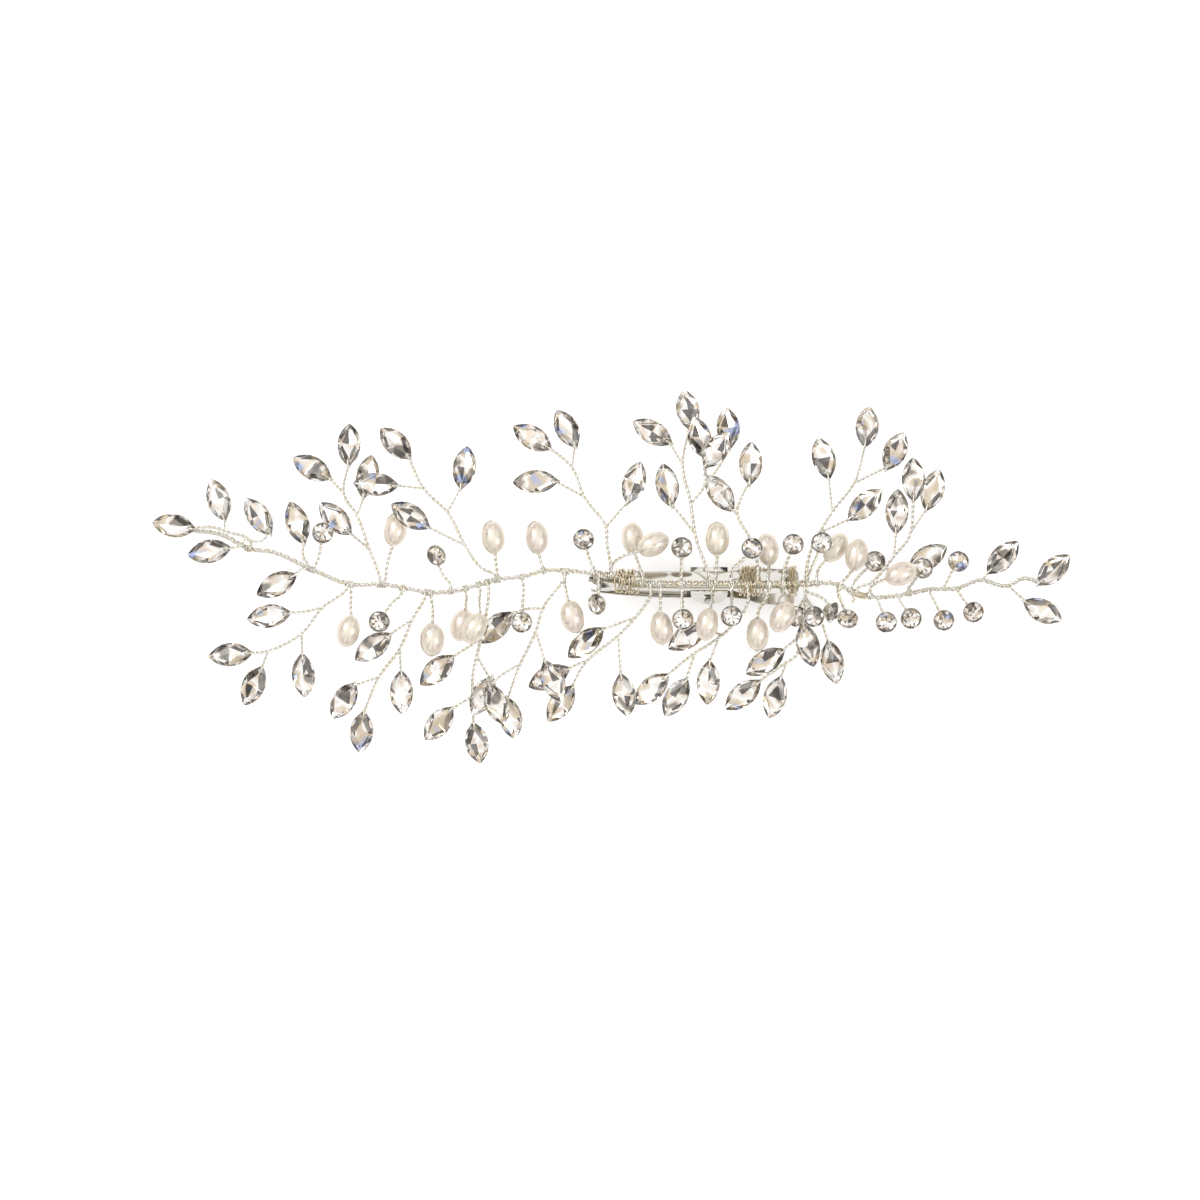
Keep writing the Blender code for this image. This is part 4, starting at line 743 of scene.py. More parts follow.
def paper(name, colour):
    """Uncoated white background paper: matte, and nearly one tone all over."""
    fixed = {"Roughness": 0.95, "IOR": 1.3, "Emission Color": (1, 1, 1, 1), "Emission Strength": 0.25}
    return surface(name, fixed, (40 * MM,), [(0.4, colour), (0.6, shade(colour, 0.995))])


# ---------------------------------------------------------------- sizes and colours that a user can change
def length(name, description, default):
    return bpy.props.FloatProperty(
        name=name, description=description, default=default, min=0.0, unit="LENGTH", precision=5
    )


def hue(name, description, code):
    return bpy.props.FloatVectorProperty(
        name=name, description=description, default=linear(code), min=0.0, max=1.0, size=3, subtype="COLOR"
    )


class HairClipSizes(bpy.types.PropertyGroup):
    strand: length("Strand", "Thickness of each strand of twisted wire", 0.4 * MM)
    twist: length("Twist", "Length of one full turn of a twisted pair", 2.2 * MM)
    stem_strand: length("Stem strand", "Thickness of each strand of the main stem", 0.36 * MM)
    stem_twist: length("Stem twist", "Length of one full turn of the stem's strands", 3.6 * MM)
    lashing_wire: length("Lashing wire", "Thickness of the wire that ties the vine to the clip", 0.32 * MM)
    girdle: length("Girdle", "Height of the narrow band round a cut stone", 0.18 * MM)
    pearl_hole: length("Pearl hole", "Depth of the drill hole's mouth in a pearl", 0.25 * MM)
    edge: length("Edge", "Rounding of the clip's pressed edges", 0.14 * MM)
    crown: length("Crown", "How much lower the top arm's sides are than its middle line", 0.22 * MM)
    cup_wall: length("Cup wall", "Thickness of a rhinestone's metal cup", 0.16 * MM)


class HairClipColours(bpy.types.PropertyGroup):
    wire: hue("Wire", "Champagne silver wire of the sprigs", "#E2DFD8")
    lashing: hue("Lashing wire", "Warmer wire that ties the vine to the clip", "#DDD1B8")
    nickel: hue("Nickel", "Polished plate of the clip", "#D9D6CF")
    steel: hue("Spring steel", "Drawn steel of the pin and the spring", "#B8B5AE")
    cup: hue("Claw cup", "Plated cups of the rhinestones", "#D3CFC6")
    glass: hue("Glass", "Clear cut glass", "#FDFCFA")
    # The foil's blush and dark tones below are painted fire and painted dark reflections, put into the foil's
    # colour.
    foil: hue("Foil", "Silver foil behind the stones", "#FAF8F5")
    blush: hue("Foil blush", "The foil's warm flashes", "#EADDD0")
    painted_dark_reflection: hue("Foil smoke", "The foil's dark flashes", "#8C8780")
    ivory: hue("Pearl", "Ivory of the pearls", "#E0D6C5")
    pearl_blush: hue("Pearl blush", "Rosier patches of the pearls", "#DFD1C5")
    backdrop: hue("Backdrop", "The paper that the clip lies on", "#FAFAFA")


def sizes():
    return bpy.context.scene.hair_clip_sizes


def colours():
    return bpy.context.scene.hair_clip_colours


def finish_of(name):
    """A finish by its name, made when a piece first needs it."""
    if name in bpy.data.materials:
        return bpy.data.materials[name]
    c = colours()
    makers = {
        "silver_plated_wire": lambda: drawn_wire(name, tuple(c.wire), 0.2),
        "gilt_lashing_wire": lambda: drawn_wire(name, tuple(c.lashing), 0.18),
        "polished_nickel_plate": lambda: polished_plate(name, tuple(c.nickel), 0.05),
        "drawn_spring_steel": lambda: polished_plate(name, tuple(c.steel), 0.22),
        "plated_claw_cup": lambda: polished_plate(name, tuple(c.cup), 0.12),
        "cut_crystal_glass": lambda: cut_glass(name, tuple(c.glass)),
        # The foil's blush and dark tones carry painted fire and painted dark reflections.
        "silvered_foil": lambda: foil_back(name, tuple(c.foil), tuple(c.blush), tuple(c.painted_dark_reflection)),
        "satin_nacre": lambda: nacre(name, tuple(c.ivory), tuple(c.pearl_blush)),
        "background_paper": lambda: paper(name, tuple(c.backdrop)),
    }
    return makers[name]()


# ---------------------------------------------------------------- modelling, as by hand
def only(obj):
    """Makes an object the active one and the only one selected."""
    bpy.ops.object.select_all(action="DESELECT")
    obj.select_set(True)
    bpy.context.view_layer.objects.active = obj


def faces_where(obj, test):
    """Selects, in edit mode, the faces whose middle and normal pass a test."""
    bpy.ops.mesh.select_all(action="DESELECT")
    bpy.ops.object.mode_set(mode="OBJECT")
    for face in obj.data.polygons:
        face.select = bool(test(face.center, face.normal))
    bpy.ops.object.mode_set(mode="EDIT")


def opened():
    """Goes into edit mode, to work on faces."""
    bpy.ops.object.mode_set(mode="EDIT")
    bpy.ops.mesh.select_mode(type="FACE")


def closed(welds=0.0, splits=False):
    """Welds near points or splits faces into triangles, turns all faces outwards and leaves edit mode."""
    bpy.ops.mesh.select_all(action="SELECT")
    if welds:
        bpy.ops.mesh.remove_doubles(threshold=welds)
    if splits:
        bpy.ops.mesh.quads_convert_to_tris()
    bpy.ops.mesh.normals_make_consistent(inside=False)
    bpy.ops.object.mode_set(mode="OBJECT")


def pushed(lift, share):
    """Extrudes the selected faces upwards, or downwards, and draws them in towards the upright axis."""
    bpy.ops.mesh.extrude_region_move(TRANSFORM_OT_translate={"value": (0, 0, lift)})
    bpy.ops.transform.resize(value=(share, share, 1.0), center_override=(0, 0, 0))


def ground(planes):
    """Grinds the active mesh flat at each plane, a point and the normal of the side that goes."""
    opened()
    for point, normal in planes:
        bpy.ops.mesh.select_all(action="SELECT")
        bpy.ops.mesh.bisect(plane_co=point, plane_no=normal, use_fill=True, clear_outer=True)
    closed(welds=0.004 * MM)


def polished(obj, finish, sharp):
    """Gives an object one finish, smooth but for edges sharper than an angle in degrees."""
    obj.data.materials.clear()
    obj.data.materials.append(finish_of(finish))
    bpy.ops.object.shade_smooth_by_angle(angle=math.radians(sharp))
    return obj


def linked(obj):
    bpy.context.scene.collection.objects.link(obj)
    return obj


def copy_for(pattern, stone, turn=Matrix()):
    """A copy of a pattern with its own mesh, turned about itself and set at a stone's place."""
    made = bpy.data.objects.new(pattern.name, pattern.data.copy())
    made.data.transform(Matrix.Translation(ORIGIN) @ frame_of(stone) @ turn)
    return linked(made)


def joined(name, parts):
    """Several parts as one object with a new name."""
    only(parts[0])
    for part in parts:
        part.select_set(True)
    if len(parts) > 1:
        bpy.ops.object.join()
    parts[0].name = parts[0].data.name = name
    return parts[0]


def stored(piece, body, slot, *nodes):
    """Fixes a finished piece to its body and hides the frame's nodes that it stands for. The slot is not
    used.
    """
    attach(piece, body)
    if nodes:
        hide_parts(*nodes)


def discard(pattern):
    bpy.data.objects.remove(pattern, do_unlink=True)


def smooth(route, step):
    """An even run of points on a smooth curve through a route."""
    runs = [(b - a).normalized() for a, b in zip(route, route[1:])]
    leads = [runs[0]] + [(a + b).normalized() for a, b in zip(runs, runs[1:])] + [runs[-1]]
    fine = []
    for k, (start, end) in enumerate(zip(route, route[1:])):
        span = (end - start).length
        count = max(1, round(span / step))
        for i in range(count):
            t = i / count
            fine.append(
                start * (2 * t**3 - 3 * t**2 + 1) + leads[k] * span * (t**3 - 2 * t**2 + t)
                + end * (3 * t**2 - 2 * t**3) + leads[k + 1] * span * (t**3 - t**2)
            )
    return fine + [route[-1]]


def twisted(route, count, reach, pitch, start_turn=0.0):
    """Strands that wind round a route: each a list of points at a reach from its middle line."""
    points = smooth(route, abs(pitch) / 9)
    strands = [[] for _ in range(count)]
    side = Vector((0.3, 0.2, 1.0))
    run = 0.0
    for i, point in enumerate(points):
        ahead = (points[min(i + 1, len(points) - 1)] - points[max(i - 1, 0)]).normalized()
        side = (side - ahead * side.dot(ahead)).normalized()
        other = ahead.cross(side)
        run += (point - points[i - 1]).length if i else 0.0
        for k, strand in enumerate(strands):
            turn = start_turn + 2 * math.pi * (run / pitch + k / count)
            strand.append(point + (side * math.cos(turn) + other * math.sin(turn)) * reach)
    return strands


def drawn(name, strands, finish, sides=1, place=Matrix.Translation(ORIGIN)):
    """Round wire along each of several runs of points, given with its thickness, as one mesh."""
    curve = bpy.data.curves.new(name, "CURVE")
    curve.dimensions = "3D"
    curve.bevel_depth = MM
    curve.bevel_resolution = sides
    curve.use_fill_caps = True
    for points, thickness in strands:
        spline = curve.splines.new("POLY")
        spline.points.add(len(points) - 1)
        for knot, point in zip(spline.points, points):
            knot.co = (*point, 1)
            knot.radius = thickness / 2 / MM
    wire = linked(bpy.data.objects.new(name, curve))
    only(wire)
    bpy.ops.object.convert(target="MESH")
    bpy.ops.object.mode_set(mode="EDIT")
    bpy.ops.mesh.select_all(action="SELECT")
    bpy.ops.mesh.remove_doubles(threshold=0.001 * MM)
    bpy.ops.object.mode_set(mode="OBJECT")
    wire.data.transform(place)
    wire.data.name = name
    wire.data.materials.clear()
    wire.data.materials.append(finish_of(finish))
    bpy.ops.object.shade_smooth()
    return wire


def pair(route, turn=0.0, thickness=BRANCH_DIAMETER):
    """Two strands twisted together, each given with its thickness."""
    strand = sizes().strand * thickness / BRANCH_DIAMETER
    return [(run, strand) for run in twisted(route, 2, strand * 0.52, sizes().twist, turn)]


# ---------------------------------------------------------------- the pieces
def tilted(out, slope, sign):
    """A facet's normal: outwards, raised from the level by its slope, up or down."""
    return (out.x * math.sin(slope), out.y * math.sin(slope), sign * math.cos(slope))


# A crystal's facets: how far each is turned from the next, their slopes from the level, and the table's
# height as a share of the half height.
FACET_TURN = math.radians(12.5)
CROWN_SLOPE, STAR_SLOPE, PAVILION_SLOPE, KEEL_SLOPE = (math.radians(slope) for slope in (33, 24, 15, 8))
TABLE_SHARE = 0.62


def cut_crystal():
    """A marquise crystal about its middle, ground from a block: table, crown, girdle and pavilion."""
    half_length, half_width, half_height = CRYSTAL.x / 2, CRYSTAL.y / 2, CRYSTAL.z / 2
    bow = (half_length**2 + half_width**2) / (2 * half_width)
    rise = sizes().girdle / 2
    planes = []
    for side in (1, -1):
        centre = Vector((0, side * (half_width - bow), 0))
        for k in range(-4, 5):
            turn = FACET_TURN * k
            out = Vector((math.sin(turn), side * math.cos(turn), 0))
            rim = centre + out * bow
            up, down = rim + Vector((0, 0, rise)), rim - Vector((0, 0, rise))
            planes.append((rim, out))
            if k in (-3, 0, 3):
                planes += [(up, tilted(out, CROWN_SLOPE, 1)), (down, tilted(out, PAVILION_SLOPE, -1))]
            elif k in (-2, 2):
                star = rim - out * 0.7 * MM + Vector((0, 0, rise + 0.42 * MM))
                keel = rim - out * 0.8 * MM - Vector((0, 0, rise + 0.19 * MM))
                planes += [(star, tilted(out, STAR_SLOPE, 1)), (keel, tilted(out, KEEL_SLOPE, -1))]
    above = Vector((0, 0, 0.1 * MM))
    for end in (1, -1):
        out = Vector((end, 0, 0))
        tip = out * half_length
        planes.append((tip - out * 0.12 * MM, out))
        planes += [(tip + above, tilted(out, STAR_SLOPE, 1)), (tip - above, tilted(out, KEEL_SLOPE, -1))]
    planes.append((Vector((0, 0, half_height * TABLE_SHARE)), (0, 0, 1)))
    bpy.ops.mesh.primitive_cube_add(size=1.0)
    block = bpy.context.object
    block.scale = CRYSTAL * 1.3
    bpy.ops.object.transform_apply(scale=True)
    ground(planes)
    return foiled(block, "crystal_pattern")


def foiled(block, name):
    """Gives a cut stone clear glass above its girdle and silvered foil below it."""
    block.name = block.data.name = name
    block.data.materials.append(finish_of("cut_crystal_glass"))
    block.data.materials.append(finish_of("silvered_foil"))
    for face in block.data.polygons:
        face.material_index = 1 if face.normal.z < -0.05 else 0
    return block


def cut_chaton():
    """A round rhinestone with its girdle just above its middle: table, crown and a shallow foiled point."""
    radius, girdle = CHATON_DIAMETER / 2 - 0.1 * MM, sizes().girdle
    bpy.ops.mesh.primitive_cylinder_add(vertices=16, radius=radius, depth=girdle, location=(0, 0, 0.3 * MM))
    stone = bpy.context.object
    bpy.ops.object.transform_apply(location=True)
    opened()
    crown, pavilion = ((0.2, 0.84), (0.34, 0.62)), ((-0.27, 0.5), (-0.17, 0.2))
    for side, steps in ((1, crown), (-1, pavilion)):
        faces_where(stone, lambda middle, normal: normal.z * side > 0.9)
        for lift, share in steps:
            pushed(lift * MM, share)
            bpy.ops.transform.rotate(value=math.pi / 16, orient_axis="Z", center_override=(0, 0, 0))
    closed(splits=True)
    return foiled(stone, "chaton_pattern")


def pressed_cup():
    """A rhinestone's cup about the stone's girdle: a pressed bowl with four claws folded over the crown."""
    outer, rim, floor, taper = CHATON_DIAMETER / 2, 0.3 * MM, -CHATON_HEIGHT / 2, 0.62
    middle, depth = (0, 0, (rim + floor) / 2), rim - floor
    bpy.ops.mesh.primitive_cone_add(
        vertices=32, radius1=outer * taper, radius2=outer, depth=depth, location=middle
    )
    cup = bpy.context.object
    bpy.ops.object.transform_apply(location=True)
    opened()
    faces_where(cup, lambda middle, normal: normal.z > 0.9)
    bpy.ops.mesh.inset(thickness=sizes().cup_wall)
    pushed(-depth * 0.75, taper)
    claws = [math.pi / 4 + math.pi / 2 * k for k in range(4)]
    claw_half_width = 0.21

    def on_a_claw(middle, normal):
        if normal.z < 0.9 or middle.z < 0:
            return False
        angle = math.atan2(middle.y, middle.x)
        offs = [abs((angle - claw + math.pi) % (2 * math.pi) - math.pi) for claw in claws]
        return min(offs) < claw_half_width

    faces_where(cup, on_a_claw)
    for lift, share in ((0.28 * MM, 0.97), (0.26 * MM, 0.86), (0.08 * MM, 0.86)):
        pushed(lift, share)
    closed()
    return polished(cup, "plated_claw_cup", 40)


def drilled_pearl():
    """A rice pearl about its middle, along X, with the mouth of its drill hole at each end."""
    rings = 28
    bpy.ops.mesh.primitive_uv_sphere_add(
        segments=rings, ring_count=rings, radius=0.5, rotation=(0, math.pi / 2, 0)
    )
    pearl = bpy.context.object
    pearl.scale = (PEARL.z, PEARL.y, PEARL.x)
    bpy.ops.object.transform_apply(rotation=True, scale=True)
    opened()
    reach = PEARL.x / 2 * math.cos(math.pi / rings)
    for end in (1, -1):
        faces_where(pearl, lambda middle, normal: middle.x * end > reach)
        bpy.ops.mesh.extrude_region_move(TRANSFORM_OT_translate={"value": (-end * sizes().pearl_hole, 0, 0)})
    closed()
    return polished(pearl, "satin_nacre", 50)


class HAIRCLIP_OT_crystals(bpy.types.Operator):
    """Cut one marquise crystal and stand a copy wherever a sprig carries one"""

    bl_idname = "hairclip.crystals"
    bl_label = "Crystals"

    def execute(self, context):
        pattern = cut_crystal()
        centred = Matrix.Translation((CRYSTAL.x / 2, 0, 0))
        for name, stones in SPRIG_STONES.items():
            parts = [copy_for(pattern, stone, centred) for stone in stones if stone.lean is None]
            stored(joined(name.replace("sprig", "crystals"), parts), VINE, "crystal", name)
        discard(pattern)
        return {"FINISHED"}


class HAIRCLIP_OT_sprig_wires(bpy.types.Operator):
    """Twist each sprig's branch and twigs from pairs of fine wire"""

    bl_idname = "hairclip.sprig_wires"
    bl_label = "Sprig wires"

    def execute(self, context):
        for name, stones in SPRIG_STONES.items():
            strands = []
            for k, (route, thickness) in enumerate(sprig_routes(name, stones)):
                if thickness == STEM_DIAMETER:
                    strands += stem_strands(route)
                elif k:
                    strands += pair(route, 0.9 * k, thickness)
                else:
                    strands += rooted(route, 0.0, SPRIG_WRAPS)
            for stone in stones:
                if stone.lean is None:
                    strands.append((loop_through(stone), sizes().strand * 0.8))
            stored(drawn(name.replace("sprig", "wires"), strands, "silver_plated_wire"), VINE, "wire", name)
        return {"FINISHED"}


# How many turns of wire tie a sprig and a drop to the stem.
SPRIG_WRAPS, DROP_WRAPS = 3.2, 2.2


def nearest_main(point):
    """The place on the stem or its right end that is nearest in plan to a point, and which way it runs."""
    mains = [[raised(knot, 0) for knot in routed(points)] for points in (STEM, TAIL)]
    place = nearest_on(mains, point)
    ahead = nearest_on(mains, point + Vector((0.4 * MM, 0))) - place
    return place, ahead.normalized() if ahead.length > 0.05 * MM else Vector((1, 0, 0))


def rooted(route, turn, wraps):
    """A twisted wire that starts on the stem, with the turns that tie it there."""
    place, ahead = nearest_main(route[0].to_2d())
    strand = sizes().strand
    reach = STEM_DIAMETER / 2 + strand * 0.45
    start = place + Vector((0, 0, reach))
    width = wraps * strand * 1.15
    tie = twisted([place - ahead * width / 2, place + ahead * width / 2], 1, reach, width / wraps, turn)[0]
    return pair([start] + route, turn) + [(tie, strand * 0.85)]


def loop_through(stone):
    """The bight of wire that goes through a crystal's drill hole and round both sides of its tip."""
    standing = frame_of(stone)
    side, lift = 0.1 * MM, 0.62 * MM
    over = [(-0.3, -0.1), (0.2, 0.7), (0.8, 1.0), (1.5, 0.9)]
    loop = over + [(x, -z) for x, z in reversed(over)]
    bight = [standing @ Vector((x * MM, side * math.copysign(1, z), z * lift)) for x, z in loop]
    return smooth(bight, 0.12 * MM)


def stem_strands(route):
    """The main stem: strands of wire wound together, with one finer wire that binds them."""
    strand = sizes().stem_strand
    reach = (STEM_DIAMETER - strand) / 2
    wound = [(run, strand) for run in twisted(route, 4, reach * 0.86, sizes().stem_twist)]
    binder = twisted(route, 1, STEM_DIAMETER / 2 - 0.02 * MM, -sizes().stem_twist * 0.45, 0.7)[0]
    return wound + [(binder, strand * 0.55)]


class HAIRCLIP_OT_stem(bpy.types.Operator):
    """Wind the main stem, and tie the knot that joins its right end on"""

    bl_idname = "hairclip.stem"
    bl_label = "Stem and knot"

    def execute(self, context):
        route = [raised(point, 0) for point in routed(STEM)]
        stored(drawn("stem", stem_strands(route), "silver_plated_wire"), VINE, "wire", "main_stem")
        knot = ((32.6, -1.9), (33.6, -2.4), (34.6, -2.8), (35.8, -3.0))
        knot_route = [raised(placed(point), 0) for point in knot]
        turns = twisted(knot_route, 2, STEM_DIAMETER * 0.62, 0.9 * MM)
        tail = [knot_route[1], raised(placed((33.3, -3.2)), 0.4 * MM), raised(placed((33.1, -4.3)), 0.3 * MM)]
        curl = twisted(tail, 1, 0.28 * MM, 0.8 * MM)
        strands = [(run, 0.3 * MM) for run in turns + curl]
        stored(drawn("stem_knot", strands, "gilt_lashing_wire"), VINE, "wire")
        return {"FINISHED"}


# The pearls whose wire comes back round the outside: 1 to the left of the heading, -1 to its right,
# 0 over the top.
LOOPED_PEARLS = {2: 1, 3: 1, 4: -1, 7: 1, 9: 0, 10: 1, 13: 0, 15: 1, 18: -1, 16: -1}


def loop_round(stone, side):
    """Wire that comes back round a pearl from its far end to its stalk."""
    standing = frame_of(stone)
    half_length, half_width = PEARL.x / 2 + 0.05 * MM, PEARL.y / 2 + 0.08 * MM
    turn, steps = math.radians(74 if side else 0), 16
    loop = []
    for k in range(steps + 1):
        angle = math.pi * k / steps
        out = half_width * math.sin(angle)
        y, z = out * math.sin(turn) * side, out * math.cos(turn)
        loop.append(standing @ Vector((-half_length * math.cos(angle), y, z)))
    return loop


class HAIRCLIP_OT_pearls(bpy.types.Operator):
    """String each pearl on its own twisted stalk"""

    bl_idname = "hairclip.pearls"
    bl_label = "Pearls"

    def execute(self, context):
        pattern = drilled_pearl()
        for k, name, stone, stalk in drops_of("pearl"):
            swell = 1 + 0.035 * math.sin(5 * k - 5)
            shape = Matrix.Diagonal((0.99, swell * 0.96, 0.97, 1))
            stored(joined(f"pearl_{k:02d}", [copy_for(pattern, stone, shape)]), VINE, "pearl", name)
            strands = rooted(stalk, 0.8 * (k - 1), DROP_WRAPS)
            if k in LOOPED_PEARLS:
                strands.append((loop_round(stone, LOOPED_PEARLS[k]), sizes().strand * 0.7))
            stored(drawn(f"pearl_wire_{k:02d}", strands, "silver_plated_wire"), VINE, "wire", name)
        discard(pattern)
        return {"FINISHED"}


class HAIRCLIP_OT_rhinestones(bpy.types.Operator):
    """Set each rhinestone in its claw cup, on its own stalk or on its sprig"""

    bl_idname = "hairclip.rhinestones"
    bl_label = "Rhinestones"

    def execute(self, context):
        stone_pattern, cup_pattern = cut_chaton(), pressed_cup()
        groups = [(f"rhinestone_{k:02d}", name, [stone]) for k, name, stone, _ in drops_of("rhinestone")]
        for name, stones in SPRIG_STONES.items():
            chatons = [stone for stone in stones if stone.lean is not None]
            groups.append((name.replace("sprig", "rhinestones"), name, chatons))
        for name, node_name, stones in groups:
            spins = [Matrix.Rotation(stone.start.x / MM, 4, "Z") for stone in stones]
            for pattern, ending, slot in ((stone_pattern, "", "crystal"), (cup_pattern, "_cup", "wire")):
                parts = [copy_for(pattern, stone, spin) for stone, spin in zip(stones, spins)]
                if parts:
                    stored(joined(name + ending, parts), VINE, slot, node_name)
        for k, name, _, stalk in drops_of("rhinestone"):
            wire = drawn(f"rhinestone_wire_{k:02d}", rooted(stalk, k - 1, DROP_WRAPS), "silver_plated_wire")
            stored(wire, VINE, "wire", name)
        discard(stone_pattern)
        discard(cup_pattern)
        return {"FINISHED"}


def stem_in_clip(x):
    """The stem's middle in the clip's frame, at a distance along the clip from the hinge."""
    route, at = routed(STEM), HINGE_X + x
    for start, end in zip(route, route[1:]):
        if start.x <= at <= end.x:
            return clip_frame().inverted() @ raised(start.lerp(end, (at - start.x) / (end.x - start.x)), 0)


def wound_round(x_from, x_to, turns, distance, lean=0.0):
    """Wire pulled taut round the arm and the stem, wound from one place along the clip to another."""
    steps = 40
    half = (TAIL_WIDTH if x_from > 0 else ARM_WIDTH) / 2
    rounds = [(y, z, 0) for y in (-half, half) for z in (-ARM_THICKNESS / 2, ARM_THICKNESS / 2)]
    rounds.append((*stem_in_clip((x_from + x_to) / 2).yz, STEM_DIAMETER / 2))
    hoop = []
    for k in range(round(turns * steps) + 1):
        angle = 2 * math.pi * k / steps
        out = Vector((0, math.cos(angle), math.sin(angle)))
        y, z, radius = max(rounds, key=lambda each: each[0] * out.y + each[1] * out.z + each[2])
        away = radius + distance + 0.06 * MM * math.sin(3.7 * k / steps)
        hoop.append(Vector((0, y, z)) + out * away)
    lengths = [0.0]
    for start, end in zip(hoop, hoop[1:]):
        lengths.append(lengths[-1] + (end - start).length)
    run = []
    for point, length_so_far in zip(hoop, lengths):
        share = length_so_far / lengths[-1]
        drift = lean * math.cos(2 * math.pi * turns * share) + 0.2 * MM * math.sin(14.5 * turns * share)
        run.append(point + Vector((x_from + (x_to - x_from) * share + drift, 0, 0)))
    return run


class HAIRCLIP_OT_lashings(bpy.types.Operator):
    """Bind the vine to the clip's arm with turns of fine wire"""

    bl_idname = "hairclip.lashings"
    bl_label = "Lashings"

    def execute(self, context):
        turns_of = {"lashing_front": 6, "lashing_rear": 7, "lashing_tail": 3}
        wire = sizes().lashing_wire
        over = [stem_in_clip(x * MM) for x in range(-22, 23)]
        reach, pitch = STEM_DIAMETER / 2 + 0.06 * MM, 1.3 * MM
        wraps = twisted(over, 1, reach, pitch) + twisted(over, 1, reach, -pitch)
        wrap = drawn("stem_wrap", [(run, wire * 0.75) for run in wraps], "gilt_lashing_wire", place=CLIP)
        stored(wrap, VINE, "wire")
        for name, turns in turns_of.items():
            start, end = (x * MM for x in LASHINGS[name])
            skew = 0.12 * MM if turns == 3 else 0.6 * MM
            strands = [(wound_round(start, end, turns, 0.3 * MM, skew), wire)]
            strands.append((wound_round(end, start, turns - 1, 0.5 * MM, -1.5 * skew), wire * 0.85))
            piece = drawn(name + "_turns", strands, "gilt_lashing_wire", place=CLIP)
            stored(piece, VINE, "wire", name)
        return {"FINISHED"}


def pressed_copy(name, node_name, finish, crown=0.0):
    """A finished copy of one of the clip's plates: its sharp edges rounded, and its top crowned across."""
    piece = linked(bpy.data.objects.new(name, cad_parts[node_name].data.copy()))
    piece.data.name = name
    only(piece)
    bpy.ops.object.mode_set(mode="EDIT")
    bpy.ops.mesh.select_all(action="SELECT")
    bpy.ops.mesh.remove_doubles(threshold=0.002 * MM)
    bpy.ops.mesh.dissolve_limited(angle_limit=math.radians(1))
    if crown:
        cuts = [Vector((0, share * ARM_WIDTH / 2, 0)) for share in (-0.8, -0.5, -0.2, 0.2, 0.5, 0.8)]
        for share in (0.2, 0.4, 0.6, 0.8, 1):
            step = share * EASED_LENGTH
            cuts += [Vector((ARM_ENDS[0] + step, 0, 0)), Vector((ARM_ENDS[1] - step, 0, 0))]
        for cut in cuts:
            bpy.ops.mesh.select_all(action="SELECT")
            across = CLIP.to_3x3() @ (Vector((0, 1, 0)) if cut.y else Vector((1, 0, 0)))
            bpy.ops.mesh.bisect(plane_co=CLIP @ cut, plane_no=across)
    bpy.ops.object.mode_set(mode="OBJECT")
    inside_out = CLIP.inverted()
    for vert in piece.data.vertices if crown else ():
        spot = inside_out @ vert.co
        near_end = max(0, 1 - min(spot.x - ARM_ENDS[0], ARM_ENDS[1] - spot.x) / EASED_LENGTH)
        if spot.z > 0 and abs(spot.y) <= TAIL_WIDTH / 2 + 0.01 * MM:
            spot.z -= crown * (spot.y / (ARM_WIDTH / 2)) ** 2
        if spot.z > -ARM_THICKNESS:
            spot.z -= EASED_CROWNS * crown * near_end**2
        vert.co = CLIP @ spot
    bpy.ops.object.modifier_add(type="BEVEL")
    rounding = piece.modifiers[-1]
    rounding.width = sizes().edge
    rounding.segments = 3
    rounding.limit_method = "ANGLE"
    rounding.angle_limit = math.radians(40)
    rounding.use_clamp_overlap = True
    bpy.ops.object.modifier_apply(modifier=rounding.name)
    return polished(piece, finish, 35)


class HAIRCLIP_OT_clip(bpy.types.Operator):
    """Finish the clip's pressed plates and its pin"""

    bl_idname = "hairclip.clip"
    bl_label = "Clip"

    def execute(self, context):
        for name, node_name, body, slot, finish, crown in (
            ("top_arm", "clip_top_arm", VINE, "nickel", "polished_nickel_plate", sizes().crown),
            ("lower_jaw", "clip_lower_jaw", JAW, "nickel", "polished_nickel_plate", 0.0),
            ("pin", "hinge_pin", VINE, "pin_steel", "drawn_spring_steel", 0.0),
        ):
            stored(pressed_copy(name, node_name, finish, crown), body, slot, node_name)
        return {"FINISHED"}


class HAIRCLIP_OT_spring(bpy.types.Operator):
    """Coil the torsion spring round the pin, with one leg on each plate"""

    bl_idname = "hairclip.spring"
    bl_label = "Spring"

    def execute(self, context):
        off = CLEARANCE + SPRING_WIRE / 2
        mean = PIN_DIAMETER / 2 + off
        inside = ARM_WIDTH / 2 * 0.98 - EAR_THICKNESS - off
        leg = EAR_LENGTH / 2 + 1.3 * MM
        per_turn = 24
        steps = round(SPRING_TURNS * per_turn)
        run = [Vector((leg, -inside, -ARM_THICKNESS / 2 - off))]
        for k in range(steps + 1):
            angle = math.pi / 2 - 2 * math.pi * k / per_turn
            y = -inside + 2 * inside * k / steps
            run.append(Vector((mean * math.cos(angle), y, mean * math.sin(angle) - HINGE_DEPTH)))
        run.append(Vector((leg * 0.6, inside, -JAW_PLATE_DEPTH + PRONG_THICKNESS / 2 + off)))
        spring = drawn("spring", [(run, SPRING_WIRE)], "drawn_spring_steel", 2, CLIP)
        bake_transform(spring)
        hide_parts("torsion_spring")
        return {"FINISHED"}


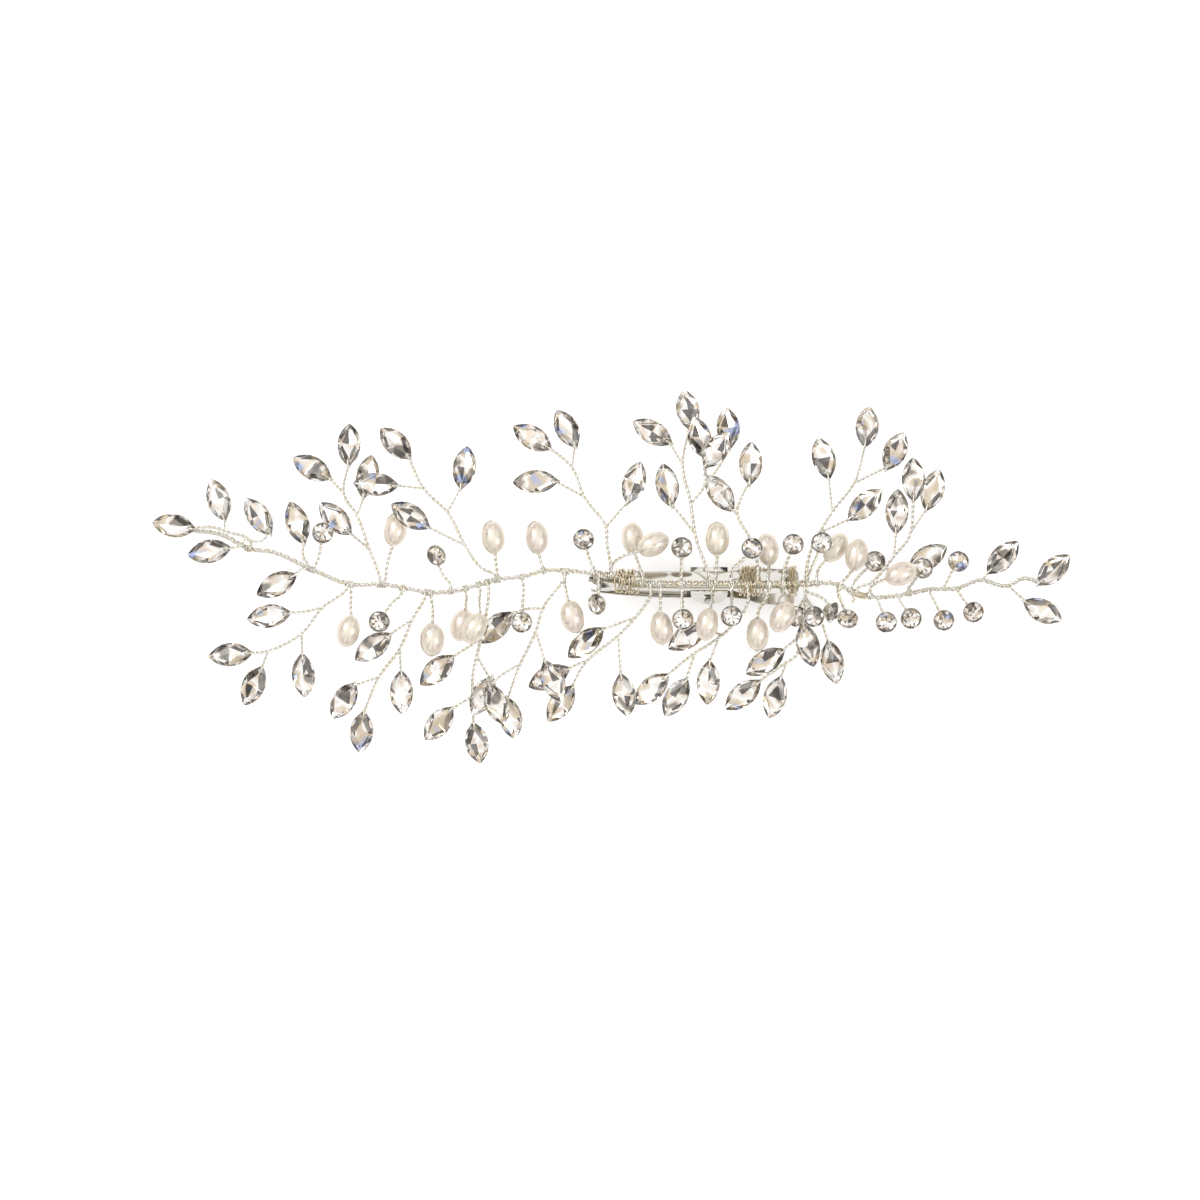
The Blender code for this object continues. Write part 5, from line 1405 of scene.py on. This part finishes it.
class HAIRCLIP_OT_stage(bpy.types.Operator):
    """Lay the paper, hang the lights and set the camera straight above"""

    bl_idname = "hairclip.stage"
    bl_label = "Stage"

    def execute(self, context):
        bpy.ops.mesh.primitive_plane_add(size=6.0, location=(0, 0, -0.02 * MM))
        floor = bpy.context.object
        bpy.ops.object.transform_apply(location=True)
        floor.name = "floor"
        floor.data.materials.append(finish_of("background_paper"))
        for name, spot, side, power in (
            ("softbox_left", (-0.55, 0.35, 0.75), 0.5, 3.0),
            ("softbox_right", (0.6, -0.25, 0.8), 0.35, 1.6),
        ):
            bpy.ops.object.light_add(type="AREA", location=spot)
            lamp = bpy.context.object
            lamp.name = name
            lamp.data.shape = "SQUARE"
            lamp.data.size = side
            lamp.data.energy = power
            lamp.rotation_euler = (-Vector(spot)).to_track_quat("-Z", "Y").to_euler()
        self.hang_the_tent(context.scene)
        middle_of_view, distance = Vector((-20.055, -3.78, 0)) * MM, Vector((0, 0, 1.26))
        bpy.ops.object.camera_add(location=ORIGIN + middle_of_view + distance, rotation=(0, 0, 0))
        camera = bpy.context.object
        camera.data.lens, camera.data.sensor_width = 180, 36
        camera.data.clip_start, camera.data.clip_end = 0.05, 20
        context.scene.camera = camera
        context.scene.view_settings.view_transform = "Standard"
        return {"FINISHED"}

    def hang_the_tent(self, scene):
        """A white light tent all round, with dark openings for the stones and the plate to reflect."""
        world = bpy.data.worlds.new("light_tent")
        world.use_nodes = True
        tree = world.node_tree
        around = node(tree, "ShaderNodeTexCoord").outputs["Generated"]
        parts = node(tree, "ShaderNodeSeparateXYZ", (), {"Vector": around}).outputs
        walls = [(0.03, (0.06, 0.06, 0.06)), (0.2, (0.45, 0.44, 0.42)), (0.38, (1, 1, 1))]
        panels = [(0.29, (1, 1, 1)), (0.32, (0.5, 0.49, 0.47)), (0.35, (0.01, 0.01, 0.012))]

        def reckoned(operation, *values):
            """The result of a calculation with numbers and other nodes' results."""
            settings, links = {"operation": operation}, {}
            for k, value in enumerate(values):
                (settings if isinstance(value, float) else links)[k] = value
            return node(tree, "ShaderNodeMath", settings, links).outputs[0]

        rib_count = 7.0
        ribs = reckoned("SINE", reckoned("MULTIPLY", reckoned("ARCTAN2", parts["Y"], parts["X"]), rib_count))
        creases = {"Scale": 2.6, "Detail": 1.0}
        cloth = node(tree, "ShaderNodeTexNoise", creases, {"Vector": around}).outputs["Fac"]
        roof = {"From Min": 0.9, "From Max": 0.97, "To Min": 0.0, "To Max": 1.0}
        overhead = node(tree, "ShaderNodeMapRange", roof, {"Value": parts["Z"]}).outputs["Result"]
        closed_panels = reckoned("SUBTRACT", reckoned("MULTIPLY", ribs, cloth), overhead)
        layers = {0: blended(tree, closed_panels, panels), 1: blended(tree, parts["Z"], walls)}
        tone = node(tree, "ShaderNodeVectorMath", {"operation": "MULTIPLY"}, layers).outputs[0]
        backing = tree.nodes["Background"]
        backing.inputs["Strength"].default_value = 1.3
        tree.links.new(tone, backing.inputs["Color"])
        scene.world = world


class HAIRCLIP_PT_panel(bpy.types.Panel):
    """Lists the hair clip's pieces and its sizes and colours"""

    bl_label = "Rhinestone hair clip"
    bl_idname = "HAIRCLIP_PT_panel"
    bl_space_type = "VIEW_3D"
    bl_region_type = "UI"
    bl_category = "Hair clip"

    def draw(self, context):
        for step in STEPS:
            self.layout.operator(step.bl_idname)
        for group in (context.scene.hair_clip_sizes, context.scene.hair_clip_colours):
            box = self.layout.box()
            for name in type(group).__annotations__:
                box.prop(group, name)


STEPS = (
    HAIRCLIP_OT_stage, HAIRCLIP_OT_clip, HAIRCLIP_OT_spring, HAIRCLIP_OT_stem, HAIRCLIP_OT_lashings,
    HAIRCLIP_OT_crystals, HAIRCLIP_OT_sprig_wires, HAIRCLIP_OT_pearls, HAIRCLIP_OT_rhinestones,
)
CLASSES = (HairClipSizes, HairClipColours) + STEPS + (HAIRCLIP_PT_panel,)


def register():
    for each in CLASSES:
        bpy.utils.register_class(each)
    bpy.types.Scene.hair_clip_sizes = bpy.props.PointerProperty(type=HairClipSizes)
    bpy.types.Scene.hair_clip_colours = bpy.props.PointerProperty(type=HairClipColours)


def unregister():
    del bpy.types.Scene.hair_clip_colours
    del bpy.types.Scene.hair_clip_sizes
    for each in reversed(CLASSES):
        bpy.utils.unregister_class(each)


def main():
    register()
    for step in STEPS:
        group, name = step.bl_idname.split(".")
        getattr(getattr(bpy.ops, group), name)()
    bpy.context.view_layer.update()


if __name__ == "__main__":
    main()
